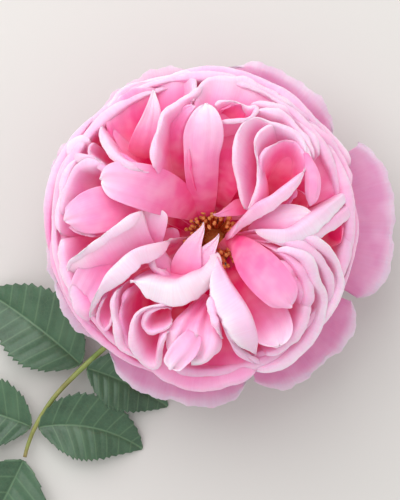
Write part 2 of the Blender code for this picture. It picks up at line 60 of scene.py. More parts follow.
# Places, in millimetres from the middle of the bloom and the hip's foot.
ROSE_AT = np.array([12.0, 29.6, 12.0])
GROUND = -ROSE_AT[2]
HEART = (4.3, -2.0)      # axis of hip and stamens
BALL = (0.5, 2.0)        # middle of the ball's rings
HIP_TOP = 11.2
HIP_RADIUS = 8.0
STALK_FOOT = (6.0, -2.6, GROUND + 4.6)
STALK_JOINT = (-36.3, -41.9, GROUND + 5.5)
STALK_PAIR = (-51.5, -61.0, GROUND + 4.5)
STALK_END = (-54.6, -70.0, GROUND + 4.0)

# Plan sheet, on which the inner petals are drawn in steps from its top left corner.
STEP = 0.29                      # length of a step on the sheet
SHEET_MIDDLE = (200.0, 250.0)    # in steps
SHEET_AT = (0.0, -5.5)           # where its middle lies
SHEET_LEVEL = 48.0
EYE_OVER = 750.0                 # distance from the sheet up to the eye
FIRST_LEVEL = 50.0               # of a rim, before its level is known
ROUNDS = 4

# Petals.
CLAW_HEIGHT = 13.5
CLAW_RADIUS = 7.2
CLAW_WIDTH = 3.0
CLAW_GAP = 0.3                   # between the hip and the claws of the ring petals
BELLY_SHARE = np.array([0.66, 0.66, 0.55])    # of the way from a wall's foot to its rim
END_DROP = 2.5                   # of a wall's rim at its ends
ROLL = ((0.5, 0.15), (1.0, 1.0))              # shares of a lip's width, and of its drop there
NARROWEST = 0.15                 # half width of a blade
BLADE_WAVE = 0.6                 # a blade's waves against those of a wall
PHASES = 12                      # half of them for waves, half for nicks
WAVES = ((1.1, 1.0), (2.3, 1.6), (4.3, 4.0))  # waves across a rim, and what divides them
NICKS = (6.5, 14.3, 31.7)        # nicks across a rim
FIRST_SEED = 101                 # of the inner petals
BELLY_SAG = 0.3                  # a ring petal's belly sags by this share of its rim's sag
BELLY_DRAW = 0.06                # share by which that belly is drawn in to its middle
HALF_ROLL = (0.55, 0.2)          # its lip's shares of overhang and of drop, half way over

# Columns and rows of the petals' grids, and readings for each point of a curve.
WALL_COLUMNS = 56
WALL_ROWS = (8, 14, 14)          # up to the belly, up to the rim, and over the roll
BLADE_COLUMNS = 40
BLADE_ROWS = 56
RING_COLUMNS = 72
RING_ROWS = 40
READINGS = 40
ASIDE = (0.31, 0.17, 0.94)       # a direction that no tube follows

# Depth of a petal's colour, as petal_shells uses it: partly the petal's own paling towards
# its edge, partly painted shade that deepens the colour below the crown.
OVER_HEART = 90.0                # height of a point that petals turn their faces to
CROWN_GAP = 2.0
EDGE_DEPTH = 0.04
EDGE_STEP = 0.15
EDGE_WIDTH = 1.8
EDGE_SHARE = 0.012
# Painted shade: deepening of the colour for each millimetre below the crown.
PAINTED_SHADE_BELOW_CROWN = 0.019

# Leaf.
LEAF_EDGE = 0.7                  # thickness at its edge against that at its foot
LEAF_LIFT = 0.4                  # of a leaflet's middle surface over the ground
LEAF_CUP = 0.18                  # rise of its sides for each millimetre
TOOTH = 0.05                     # height of its teeth, as a share of its width
VEIN_LEAN = 0.45                 # of its side veins towards the tip
QUILT = 0.3                      # height of its quilting, and depth of its midrib
LEAF_COLUMNS = 41
ROWS_A_TOOTH = 6
VEINS = 8.0                      # side veins along a leaflet
FAR_FROM_VEIN = 9.0

# Sizes of the materials' patterns, in millimetres; the dust is far coarser than pollen, to show.
PETAL_PATCH = 7.14
LEAF_PATCH = 11.1
NET = 1.25               # between the finest veins of a leaf
FLECK = 3.85
BLUSH_PATCH = 16.7
DUST = 1.11

# Numbers of the colour sockets of a Mix node, whose names are shared by its other kinds.
MIX_FIRST = 6
MIX_SECOND = 7
MIXED = 2

# Studio, in metres.
FLOOR_SIZE = 4.0
KEY_AT = (-0.22, 0.42, 0.60)
KEY_SIZE = 0.8
SENSOR = 24.0                    # in millimetres


# Colours and nodes

def linear(code):
    """Linear colour with alpha from an sRGB hex code."""
    parts = [int(code[i:i + 2], 16) / 255 for i in (1, 3, 5)]
    return [p / 12.92 if p <= 0.04045 else ((p + 0.055) / 1.055) ** 2.4 for p in parts] + [1.0]


def scale_of(size):
    """Scale of a pattern on Object coordinates whose parts are that many millimetres apart."""
    return 1.0 / (size * METRES)


def colour_property(name, description, code):
    """Colour that a user may change, from an sRGB hex code."""
    return FloatVectorProperty(name=name, description=description, subtype="COLOR", size=4,
                               min=0.0, max=1.0, default=linear(code))


class RoseSizes(bpy.types.PropertyGroup):
    """Sizes of petals and leaf."""
    petal: FloatProperty(name="Petal", description="Thickness of a petal at its foot, in mm",
                         default=0.5, min=0.1, max=1.0)
    rim: FloatProperty(name="Rim", description="Thickness of a petal at its rim, in mm",
                       default=0.24, min=0.1, max=0.8)
    lip: FloatProperty(name="Lip", description="How far a rim usually rolls outwards, in mm",
                       default=1.1, min=0.2, max=4.0)
    wave: FloatProperty(name="Wave", description="Height of the waves in a rim, in mm",
                        default=0.35, min=0.0, max=2.0)
    ragged: FloatProperty(name="Ragged", description="How far nicks go into a rim, in mm",
                          default=0.15, min=0.0, max=1.0)
    crown: FloatProperty(name="Crown", description="Height of the highest rims over the hip, in mm",
                         default=55.0, min=30.0, max=70.0)
    ring: FloatProperty(name="Ring", description="Radius at which the rims stand highest, in mm",
                        default=27.0, min=10.0, max=40.0)
    fall: FloatProperty(name="Fall", description="Fall of the rims per square mm off that ring",
                        default=0.05, min=0.0, max=0.1)
    leaf: FloatProperty(name="Leaf", description="Thickness of a leaf's blade, in mm",
                        default=0.45, min=0.1, max=1.0)
    teeth: IntProperty(name="Teeth", description="Teeth along each side of a leaflet",
                       default=17, min=5, max=40)


class RoseColours(bpy.types.PropertyGroup):
    """Colours of petals, stamens, stem and leaf."""
    rim: colour_property("Rim", "Brightest edges of the inner petals", "#FCE2F2")
    pale: colour_property("Pale", "Edge of an inner petal", "#F9C4E0")
    face: colour_property("Face", "Upper part of an inner petal", "#EF98C3")
    deep: colour_property("Deep", "Middle of an inner petal", "#E4689E")
    # Low and foot are also where the colour ends deep below the crown, and there they are painted
    # shade.
    low: colour_property("Low", "Lower part of an inner petal", "#DF3E7C")
    foot: colour_property("Foot", "Lowest part of an inner petal", "#C81254")
    back: colour_property("Back", "Outer side of a petal, duller", "#EFA8CE")
    guard: colour_property("Guard", "Outer petals, faded", "#D4A2C2")
    guard_edge: colour_property("Guard edge", "Dry edge of the outer petals", "#D8C2D2")
    stamen: colour_property("Stamen", "Threads of the stamens", "#E88A3A")
    anther: colour_property("Anther", "Pollen sacs", "#F4C070")
    leaf: colour_property("Leaf", "Upper side of a leaflet", "#3C5C42")
    leaf_back: colour_property("Leaf back", "Underside of a leaflet", "#7F967E")
    vein: colour_property("Vein", "Veins of a leaflet", "#5A7858")
    stem: colour_property("Stem", "Stem and stalk", "#74903F")
    blush: colour_property("Blush", "Sunny side of stem and stalk", "#8A5A45")
    floor: colour_property("Floor", "Plain floor under the rose", "#D2D0CC")


class RoseStage(bpy.types.PropertyGroup):
    """Camera and light."""
    height: FloatProperty(name="Height", description="Camera over the rims",
                          default=EYE_OVER * METRES, unit="LENGTH", min=0.2, max=3.0)
    view: FloatProperty(name="View", description="Height of the view at the rims", default=0.145,
                        unit="LENGTH", min=0.05, max=0.5)
    key: FloatProperty(name="Key", description="Power of the large soft light", default=4.3,
                       unit="POWER", min=0.0, max=100.0)
    fill: FloatProperty(name="Fill", description="Strength of the even light all round",
                        default=0.85, min=0.0, max=3.0)


def sizes():
    """The sizes that the panel shows."""
    return bpy.context.scene.rose_sizes


def colours():
    """The colours that the panel shows."""
    return bpy.context.scene.rose_colours


def feed(tree, made, inputs):
    """Links or sets a node's inputs, by name or number; a socket is linked, a value is set."""
    for key, value in inputs.items():
        if isinstance(value, bpy.types.NodeSocket):
            tree.links.new(value, made.inputs[key])
        else:
            made.inputs[key].default_value = value


def node(tree, kind, inputs=(), stops=(), **properties):
    """Adds a node with its properties, inputs and a ramp's stops, and returns its outputs."""
    made = tree.nodes.new(kind)
    for key, value in properties.items():
        setattr(made, key, value)
    feed(tree, made, dict(inputs))
    if stops:
        elements = made.color_ramp.elements
        while len(elements) < len(stops):
            elements.new(0.5)
        for element, (place, colour) in zip(elements, stops):
            element.position = place
            element.color = colour
    return made.outputs


def empty_material(name):
    """New material with a Principled shader; returns it, its tree and the shader."""
    made = bpy.data.materials.new(name)
    made.use_nodes = True
    return made, made.node_tree, made.node_tree.nodes["Principled BSDF"]


def petal_material(name, outer, dull):
    """Living petal: velvety cells over a translucent, veined blade.

    Light goes in and comes out redder through the subsurface, and the folds also get a painted
    emission of their own colour, stronger where it is deeper, that stands in for light through the
    petal; the fine cells give a soft sheen and no hard gloss.  The blade pales towards its edge and
    deepens below the crown with painted shade, and dull is the share of the duller back colour on
    its outer side.  An outer petal is faded and has no painted emission.
    """
    made, tree, shader = empty_material(name)
    tone = colours()
    place = node(tree, "ShaderNodeUVMap", uv_map="Blade")["UV"]
    side = node(tree, "ShaderNodeAttribute", attribute_name="back")["Fac"]
    depth_and_shade = node(tree, "ShaderNodeAttribute", attribute_name="depth_and_shade")["Fac"]
    where = node(tree, "ShaderNodeTexCoord")["Object"]
    if outer:
        run = node(tree, "ShaderNodeSeparateXYZ", {0: place})["Y"]
        stops = ((0.0, linear("#E8E3C8")), (0.3, tone.guard), (0.92, tone.guard),
                 (1.0, tone.guard_edge))
    else:
        # The ramp reads the petal's own paling towards its edge, and painted shade deep below the
        # crown.
        run = depth_and_shade
        stops = ((0.0, tone.rim), (0.12, tone.pale), (0.28, tone.face), (0.46, tone.deep),
                 (0.68, tone.low), (1.0, tone.foot))
    colour = node(tree, "ShaderNodeValToRGB", {"Fac": run}, stops)["Color"]
    share = node(tree, "ShaderNodeMapRange", {"Value": side, "To Max": dull})[0]
    colour = node(tree, "ShaderNodeMix", {0: share, MIX_FIRST: colour, MIX_SECOND: tone.back},
                  data_type="RGBA")[MIXED]
    # Veins run from foot to rim, about 0.5 mm apart: stretched noise over the blade.
    stretch = node(tree, "ShaderNodeMapping", {"Vector": place, "Scale": (70.0, 2.2, 1.0)})[0]
    veins = node(tree, "ShaderNodeTexNoise",
                 {"Vector": stretch, "Scale": 1.0, "Detail": 3.0, "Roughness": 0.55})["Fac"]
    share = node(tree, "ShaderNodeMapRange",
                 {"Value": veins, "From Min": 0.35, "From Max": 0.75, "To Max": 0.14})[0]
    colour = node(tree, "ShaderNodeMix",
                  {0: share, MIX_FIRST: colour, MIX_SECOND: linear("#F070AC")},
                  data_type="RGBA", blend_type="MULTIPLY")[MIXED]
    patches = node(tree, "ShaderNodeTexNoise",
                   {"Vector": where, "Scale": scale_of(PETAL_PATCH), "Detail": 2.0})["Fac"]
    share = node(tree, "ShaderNodeMapRange",
                 {"Value": patches, "From Min": 0.4, "From Max": 0.7, "To Max": 0.16})[0]
    colour = node(tree, "ShaderNodeMix",
                  {0: share, MIX_FIRST: colour, MIX_SECOND: linear("#FFF2F8")},
                  data_type="RGBA", blend_type="SCREEN")[MIXED]
    if not outer:
        # Painted light: the petal emits its own colour, more where that colour is deeper, so deep
        # folds shine without a lamp; it stands in for light that comes through the petals from
        # behind.
        painted_glow = node(tree, "ShaderNodeMapRange",
                    {"Value": depth_and_shade, "From Min": 0.15, "From Max": 0.9,
                     "To Min": 0.03, "To Max": 0.24})[0]
        feed(tree, shader, {"Emission Color": colour, "Emission Strength": painted_glow})
    bump = node(tree, "ShaderNodeBump",
                {"Height": veins, "Strength": 0.25, "Distance": 0.12 * METRES})["Normal"]
    feed(tree, shader, {"Base Color": colour, "Normal": bump, "Roughness": 0.6, "IOR": 1.38,
                        "Specular IOR Level": 0.25, "Subsurface Weight": 0.5,
                        "Subsurface Scale": 1.6 * METRES, "Subsurface Radius": (1.0, 0.38, 0.5),
                        "Sheen Weight": 0.08, "Sheen Roughness": 0.5})
    return made


def leaf_material():
    """Rose leaf: a waxy, quilted upper side with pale sunken veins and a matt grey underside.

    Side veins lie where the number along them is whole, and fade out within a tenth of it; the
    midrib fades out within half a millimetre.
    """
    made, tree, shader = empty_material("Waxy leaf")
    tone = colours()
    side = node(tree, "ShaderNodeAttribute", attribute_name="back")["Fac"]
    rib = node(tree, "ShaderNodeAttribute", attribute_name="rib")["Fac"]
    middle = node(tree, "ShaderNodeAttribute", attribute_name="middle")["Fac"]
    where = node(tree, "ShaderNodeTexCoord")["Object"]
    wave = node(tree, "ShaderNodeMath", {0: rib, 1: 0.5}, operation="PINGPONG")[0]
    side_vein = node(tree, "ShaderNodeMapRange", {"Value": wave, "From Min": 0.02,
                                                  "From Max": 0.08, "To Min": 0.6,
                                                  "To Max": 0.0})[0]
    midrib = node(tree, "ShaderNodeMapRange", {"Value": middle, "From Min": 0.15,
                                               "From Max": 0.5, "To Min": 0.9,
                                               "To Max": 0.0})[0]
    vein = node(tree, "ShaderNodeMath", {0: side_vein, 1: midrib}, operation="MAXIMUM")[0]
    spread = node(tree, "ShaderNodeTexNoise",
                  {"Vector": where, "Scale": scale_of(LEAF_PATCH), "Detail": 4.0})["Fac"]
    green = node(tree, "ShaderNodeValToRGB", {"Fac": spread},
                 ((0.3, linear("#2E4A34")), (0.5, tone.leaf), (0.75, linear("#4C6C50"))))["Color"]
    cells = node(tree, "ShaderNodeTexVoronoi", {"Vector": where, "Scale": scale_of(NET)},
                 feature="DISTANCE_TO_EDGE")["Distance"]
    net = node(tree, "ShaderNodeMapRange",
               {"Value": cells, "From Max": 0.12, "To Min": 0.35, "To Max": 0.0})[0]
    rough = node(tree, "ShaderNodeMapRange", {"Value": side, "To Min": 0.38, "To Max": 0.7})[0]
    share = node(tree, "ShaderNodeMapRange", {"Value": side, "To Max": 0.85})[0]
    for factor, paint in ((net, linear("#4C6B4C")), (vein, tone.vein), (share, tone.leaf_back)):
        green = node(tree, "ShaderNodeMix", {0: factor, MIX_FIRST: green, MIX_SECOND: paint},
                     data_type="RGBA")[MIXED]
    bump = node(tree, "ShaderNodeBump",
                {"Height": cells, "Strength": 0.35, "Distance": 0.12 * METRES})["Normal"]
    feed(tree, shader, {"Base Color": green, "Normal": bump, "Roughness": rough, "IOR": 1.45,
                        "Subsurface Weight": 0.08, "Subsurface Scale": 1.0 * METRES,
                        "Coat Weight": 0.12, "Coat Roughness": 0.35})
    return made


def stem_material():
    """Green bark of a young rose stem: smooth, faintly flecked, reddened in patches."""
    made, tree, shader = empty_material("Green stem bark")
    tone = colours()
    where = node(tree, "ShaderNodeTexCoord")["Object"]
    blush = node(tree, "ShaderNodeAttribute", attribute_name="blush")["Fac"]
    flecks = node(tree, "ShaderNodeTexNoise",
                  {"Vector": where, "Scale": scale_of(FLECK), "Detail": 3.0})["Fac"]
    share = node(tree, "ShaderNodeMapRange",
                 {"Value": flecks, "From Min": 0.35, "From Max": 0.7})[0]
    patch = node(tree, "ShaderNodeTexNoise",
                 {"Vector": where, "Scale": scale_of(BLUSH_PATCH), "Detail": 2.0})["Fac"]
    reddened = node(tree, "ShaderNodeMapRange",
                    {"Value": patch, "From Min": 0.35, "From Max": 0.65, "To Min": 0.1})[0]
    red = node(tree, "ShaderNodeMath", {0: blush, 1: reddened}, operation="MULTIPLY",
               use_clamp=True)[0]
    green = tone.stem
    for factor, paint in ((share, linear("#93A85A")), (red, tone.blush)):
        green = node(tree, "ShaderNodeMix", {0: factor, MIX_FIRST: green, MIX_SECOND: paint},
                     data_type="RGBA")[MIXED]
    bump = node(tree, "ShaderNodeBump",
                {"Height": flecks, "Strength": 0.35, "Distance": 0.12 * METRES})["Normal"]
    feed(tree, shader, {"Base Color": green, "Normal": bump, "Roughness": 0.45, "IOR": 1.45,
                        "Subsurface Weight": 0.1, "Subsurface Scale": 1.0 * METRES})
    return made


def stamen_material():
    """Dry orange threads under pale pollen sacs, both matt with a grainy dust."""
    made, tree, shader = empty_material("Pollen and dry thread")
    tone = colours()
    where = node(tree, "ShaderNodeTexCoord")["Object"]
    head = node(tree, "ShaderNodeAttribute", attribute_name="head")["Fac"]
    grain = node(tree, "ShaderNodeTexNoise",
                 {"Vector": where, "Scale": scale_of(DUST), "Detail": 3.0})["Fac"]
    share = node(tree, "ShaderNodeMapRange",
                 {"Value": grain, "From Min": 0.35, "From Max": 0.65, "To Max": 0.6})[0]
    colour = tone.stamen
    for factor, paint in ((head, tone.anther), (share, linear("#C0561C"))):
        colour = node(tree, "ShaderNodeMix", {0: factor, MIX_FIRST: colour, MIX_SECOND: paint},
                      data_type="RGBA")[MIXED]
    bump = node(tree, "ShaderNodeBump",
                {"Height": grain, "Strength": 0.5, "Distance": 0.1 * METRES})["Normal"]
    feed(tree, shader, {"Base Color": colour, "Normal": bump, "Roughness": 0.75,
                        "Subsurface Weight": 0.15, "Subsurface Scale": 0.6 * METRES})
    return made


MAKERS = {
    "petal": lambda: petal_material("Velvet petal", False, 0.3),
    "ball": lambda: petal_material("Petal of the ball", False, 0.85),
    "guard": lambda: petal_material("Faded outer petal", True, 0.3),
    "leaf": leaf_material,
    "stem": stem_material,
    "stamen": stamen_material,
}
MADE = {}


def finish_of(name):
    """The material of that finish, made once."""
    if name not in MADE:
        MADE[name] = MAKERS[name]()
    return MADE[name]


# Curves and surfaces, in millimetres

def through(stations, heights):
    """Smooth surface through stations from foot to rim, read at the given station numbers.

    Each column is a cubic through its stations whose knots follow the root of their mean
    distance; slopes are those of the parabola through three neighbours.
    """
    stations = np.asarray(stations, float)
    steps = np.sqrt(np.linalg.norm(np.diff(stations, axis=0), axis=2).mean(axis=1)) + 1e-6
    knots = np.concatenate([[0.0], np.cumsum(steps)])
    slopes = np.diff(stations, axis=0) / steps[:, None, None]
    inner = ((slopes[:-1] * steps[1:, None, None] + slopes[1:] * steps[:-1, None, None])
             / (steps[:-1] + steps[1:])[:, None, None])
    first = 2 * slopes[:1] - inner[:1]
    last = 2 * slopes[-1:] - inner[-1:]
    tangents = np.concatenate([first, inner, last])
    place = np.interp(heights, np.arange(len(knots)), knots)
    span = np.clip(np.searchsorted(knots, place, side="right") - 1, 0, len(knots) - 2)
    width = (knots[span + 1] - knots[span])[:, None, None]
    s = (place - knots[span])[:, None, None] / width
    return ((2 * s**3 - 3 * s**2 + 1) * stations[span]
            + (s**3 - 2 * s**2 + s) * width * tangents[span]
            + (3 * s**2 - 2 * s**3) * stations[span + 1]
            + (s**3 - s**2) * width * tangents[span + 1])


def curve(points, shares):
    """Smooth line through points, read at the given shares of its length."""
    points = np.asarray(points, float)
    readings = np.linspace(0, len(points) - 1, READINGS * len(points))
    fine = through(points[:, None, :], readings)[:, 0]
    run = np.concatenate([[0.0], np.cumsum(np.linalg.norm(np.diff(fine, axis=0), axis=1))])
    places = np.asarray(shares) * run[-1]
    return np.stack([np.interp(places, run, fine[:, axis]) for axis in range(fine.shape[1])], 1)


def turn(degrees):
    """Unit vector at that azimuth in the ground plane."""
    angle = math.radians(degrees)
    return np.array([math.cos(angle), math.sin(angle)])


def crown(x, y):
    """Height of the petal rims over a point of the plan: highest on a ring, lower off it."""
    size = sizes()
    return size.crown - size.fall * (np.hypot(x, y) - size.ring) ** 2


def from_sheet(drawn, level):
    """Plan places of what is drawn on the plan sheet and stands at that level, and its step.

    Seen from the eye, what stands higher looks larger and farther out, so a step is worth STEP
    times the distance from the eye down to that level, over the distance down to the sheet.
    The places are taken to the nearest half millimetre.
    """
    step = STEP * (SHEET_LEVEL + EYE_OVER - level) / EYE_OVER
    x = SHEET_AT[0] + (drawn[:, 0] - SHEET_MIDDLE[0]) * step
    y = SHEET_AT[1] + (SHEET_MIDDLE[1] - drawn[:, 1]) * step
    return x, y, step


def halves(values):
    """Values to the nearest half."""
    return np.round(2 * values) / 2


def rim_line(drawn, rise, count):
    """Rim drawn on the plan sheet, raised over the crown by rise, as that many points.

    Its place in plan needs its level and the other way round, so both are found in rounds.
    """
    drawn = np.array(drawn, float)
    level = FIRST_LEVEL
    for _ in range(ROUNDS):
        x, y, _ = from_sheet(drawn, level)
        level = crown(x, y) + rise
    flat = np.stack([halves(x), halves(y), np.zeros(len(drawn))], axis=1)
    line = curve(flat, np.linspace(0, 1, count))
    line[:, 2] += crown(line[:, 0], line[:, 1]) + rise
    return line


def plan_normal(line):
    """Unit vectors in plan, to the left of a line's direction."""
    ahead = np.gradient(line[:, :2], axis=0)
    ahead /= np.linalg.norm(ahead, axis=1)[:, None] + 1e-9
    return np.stack([-ahead[:, 1], ahead[:, 0]], axis=1)


def surface_normal(points):
    """Unit normals of a grid of points."""
    normal = np.cross(np.gradient(points, axis=1), np.gradient(points, axis=0))
    return normal / (np.linalg.norm(normal, axis=2)[:, :, None] + 1e-12)


def run_up(points):
    """Mean way from foot to each row of a grid, and its whole length."""
    steps = np.linalg.norm(np.diff(points, axis=0), axis=2).mean(axis=1)
    run = np.concatenate([[0.0], np.cumsum(steps)])
    return run, run[-1]


def waved(points, amount, seed, ragged):
    """Blade with waves along its rim that die out towards its foot.

    The height of the wave is a sum of sines across the blade with seeded phases, times the
    square of the way from foot to rim.  Ragged moves the rim in and out by a finer sum, times
    the eighth power of that way.
    """
    columns = points.shape[1]
    phases = np.random.default_rng(seed).uniform(0, 2 * math.pi, PHASES)
    run, whole = run_up(points)
    up = (run / whole)[:, None]
    across = np.linspace(0.0, 1.0, columns)[None, :]
    waves = sum(np.sin(2 * math.pi * count * across + phases[k] + 2.0 * up) / share
                for k, (count, share) in enumerate(WAVES))
    moved = points + surface_normal(points) * (amount * up**2 * waves)[:, :, None]
    nicks = sum(np.sin(2 * math.pi * count * across + phases[PHASES // 2 + k]) / (1 + k)
                for k, count in enumerate(NICKS))
    step = np.gradient(points, axis=0)
    step /= np.linalg.norm(step, axis=2)[:, :, None] + 1e-9
    return moved + step * (ragged * up**8 * nicks)[:, :, None]


def claw(azimuth, radius, height, width, across, side=None):
    """Foot of a petal: a short line at the hip, across its azimuth or along a given side."""
    out = turn(azimuth)
    if side is None:
        side = np.array([-out[1], out[0]])
    points = np.empty((len(across), 3))
    points[:, :2] = HEART + out * radius + across[:, None] * side * width / 2
    points[:, 2] = height
    return points


def wall(rim, rise=0.0, lip=None, droop=None, belly=None, shrink=0.85, seed=0, wave=None,
         tone=0.0):
    """Standing petal known by its rim on the plan sheet; a grid from foot to lip, and its tone.

    It runs from a claw on the hip through its belly, a copy of the rim made smaller by shrink,
    to the rim, which stands over the crown by rise.  There it rolls over by lip millimetres in
    plan: to the left of the rim's direction where positive, to the right where negative, one
    value or several along the rim.  With no lip given, it rolls away from its belly.  The roll
    drops by droop of its width, less where it is wide, and narrows towards its ends.
    """
    across = np.linspace(-1.0, 1.0, WALL_COLUMNS)
    line = rim_line(rim, rise, WALL_COLUMNS)
    middle = line[WALL_COLUMNS // 2]
    lean = line[:, :2].mean(axis=0) - HEART
    azimuth = math.degrees(math.atan2(lean[1], lean[0]))
    chord = line[-1, :2] - line[0, :2]
    chord /= np.linalg.norm(chord) + 1e-9
    root = claw(azimuth, CLAW_RADIUS, CLAW_HEIGHT, CLAW_WIDTH, across, chord)
    if belly is None:
        start = root.mean(axis=0)
        belly = start + (middle - start) * BELLY_SHARE
    waist = np.array(belly, float) + (line - middle) * shrink
    side = plan_normal(line)
    size = sizes()
    if lip is None:
        outwards = np.sum((line[:, :2] - waist[:, :2]) * side, axis=1).mean()
        lip = size.lip * (1.0 if outwards > 0 else -1.0)
    amount = np.interp(across, np.linspace(-1, 1, np.size(lip)), np.ravel(lip))
    narrowing = np.clip(1.3 - 0.2 * np.abs(amount), 0.3, 1)
    amount = amount * (1 - narrowing * np.abs(across) ** 6)
    line[:, 2] -= END_DROP * np.abs(across) ** 10
    if droop is None:
        droop = np.clip(1.0 - 0.16 * np.abs(amount), 0.28, 0.8)
    stations = [root, waist, line]
    for share, drop in ROLL:
        edge = line.copy()
        edge[:, :2] += side * (amount * share)[:, None]
        edge[:, 2] -= np.abs(amount) * droop * drop
        stations.append(edge)
    lower, upper, roll = WALL_ROWS
    heights = np.concatenate([np.linspace(0, 1, lower)[:-1], np.linspace(1, 2, upper)[:-1],
                              np.linspace(2, 4, roll)])
    grid = through(stations, heights)
    return waved(grid, size.wave if wave is None else wave, seed, size.ragged), tone


def blade(drawn, camber=0.12, roll=0.0, fold=0.0, folds=3.0, rounding=0.12, seed=0, wave=None,
          tone=0.0):
    """Tongue-like petal that shows its face: a grid from foot to tip, and its tone.

    Each place on its midline is x and y on the plan sheet, height, and half width in steps.
    The sides fall by camber of the half width, times the square of the way from the middle,
    and roll turns the cross-section about the midline.  Fold is the height of the ridges along
    the blade, and folds their number.  The last share of its length, rounding, narrows to a
    round end.
    """
    across = np.linspace(-1.0, 1.0, BLADE_COLUMNS)[None, :]
    run = 1 - (1 - np.linspace(0.0, 1.0, BLADE_ROWS)[:, None]) ** 1.6
    drawn = np.array(drawn, float)
    x, y, step = from_sheet(drawn, drawn[:, 2])
    places = np.stack([halves(x), halves(y), drawn[:, 2], np.round(drawn[:, 3] * step, 1)], 1)
    line = curve(places, run[:, 0])
    end = np.clip((run - 1 + rounding) / rounding, 0.0, 1.0)
    half = np.maximum(line[:, 3:] * np.sqrt(1 - 0.97 * end**2.5), NARROWEST)
    ahead = np.gradient(line[:, :3], axis=0)
    ahead /= np.linalg.norm(ahead, axis=1)[:, None]
    side = np.cross(np.array([0.0, 0.0, 1.0]), ahead)
    side /= np.linalg.norm(side, axis=1)[:, None] + 1e-9
    up = np.cross(ahead, side)
    angle = math.radians(roll)
    lean = side * math.cos(angle) + up * math.sin(angle)
    rise = up * math.cos(angle) - side * math.sin(angle)
    grid = line[:, None, :3] + lean[:, None, :] * (across * half)[:, :, None]
    lift = -camber * half * across**2
    lift = lift + fold * np.cos(math.pi * folds * across) * np.sqrt(run)
    grid = grid + rise[:, None, :] * lift[:, :, None]
    size = sizes()
    return waved(grid, BLADE_WAVE * size.wave if wave is None else wave, seed, size.ragged), tone


def ring_petal(azimuth, half_width, radius, height, belly, lip, drop, claw_height, seed, ragged,
               wave, tilt=0.5, sag=7.0, corner=0.0, dip=2.0, tone=0.0):
    """Petal of the ball or of the skirt, by its rim in polar measure about the ball's middle.

    Its radius grows by tilt from one side to the other, so that neighbours pass under each
    other.  Towards its ends the rim sags, and draws in by corner.  Belly is a share of the
    rim's radius and a height; between claw and belly the petal dips by dip under its claw.
    Lip and drop are the overhang of the rim.
    """
    across = np.linspace(-1.0, 1.0, RING_COLUMNS)
    angle = np.radians(azimuth + half_width * across)
    fall = sag * np.abs(across) ** 3
    reach = radius + tilt * across - corner * across**4

    def ring(radii, heights):
        points = np.empty((RING_COLUMNS, 3))
        points[:, 0] = BALL[0] + radii * np.cos(angle)
        points[:, 1] = BALL[1] + radii * np.sin(angle)
        points[:, 2] = heights
        return points

    root = claw(azimuth, HIP_RADIUS + CLAW_GAP, claw_height, CLAW_WIDTH, across)
    rim = ring(reach, height - fall)
    waist = ring(reach * belly[0], belly[1] - BELLY_SAG * fall)
    drawn_in = waist[:, :2].mean(axis=0) * BELLY_DRAW
    waist[:, :2] = waist[:, :2] * (1 - BELLY_DRAW) + drawn_in
    low = (root + waist) / 2
    low[:, 2] = claw_height - dip
    lip = lip * (1 - across**6)
    half_edge = ring(reach + HALF_ROLL[0] * lip, height - fall - HALF_ROLL[1] * drop)
    edge = ring(reach + lip, height - fall - drop)
    stations = [root, low, waist, rim, half_edge, edge]
    grid = through(stations, np.linspace(0.0, len(stations) - 1.0, RING_ROWS))
    return waved(grid, wave, seed, ragged), tone


# Meshes

def lay(points):
    """Points in millimetres about the bloom, as metres where the rose lies."""
    return (points + ROSE_AT) * METRES


def quads(index):
    """Quads between neighbours in a grid of vertex numbers."""
    corners = (index[:-1, :-1], index[:-1, 1:], index[1:, 1:], index[1:, :-1])
    return np.stack(corners, axis=-1).reshape(-1, 4)


def closed_blade(points, thick_foot, thick_rim):
    """Closed shell round a grid: vertices, faces, and the grid place and side of each vertex.

    Front and back lie half the thickness off the grid along its normal, and a band joins them
    round the outline.
    """
    rows, columns = points.shape[:2]
    run, whole = run_up(points)
    up = (run / whole)[:, None, None]
    half = (thick_foot + (thick_rim - thick_foot) * up) / 2
    normal = surface_normal(points)
    vertices = np.concatenate([(points + normal * half).reshape(-1, 3),
                               (points - normal * half).reshape(-1, 3)])
    near = np.arange(rows * columns).reshape(rows, columns)
    far = near + rows * columns
    loop = np.concatenate([near[0], near[1:, -1], near[-1, -2::-1], near[-2:0:-1, 0]])
    band = np.stack([np.append(loop, loop[0]), np.append(loop, loop[0]) + rows * columns])
    faces = np.concatenate([quads(near), quads(far[:, ::-1]), quads(band[:, ::-1])])
    u, v = np.meshgrid(np.linspace(0, 1, columns), run / whole)
    place = np.tile(np.stack([u.ravel(), v.ravel()], axis=1), (2, 1))
    side = np.repeat([0.0, 1.0], rows * columns)
    return vertices, faces, place, side


def round_shell(points, values):
    """Closed shell from rings of points, capped with quads: vertices, faces, places, values."""
    rings, sides = points.shape[:2]
    index = np.arange(rings * sides).reshape(rings, sides)
    half = np.arange(sides // 2 - 1)
    cap = np.stack([half, half + 1, sides - 2 - half, sides - 1 - half], axis=1)
    faces = np.concatenate([quads(np.concatenate([index, index[:, :1]], axis=1)),
                            index[0][cap][:, ::-1], index[-1][cap]])
    place = np.stack([np.tile(np.arange(sides) / sides, rings),
                      np.repeat(np.linspace(0.0, 1.0, rings), sides)], 1)
    return points.reshape(-1, 3), faces, place, values


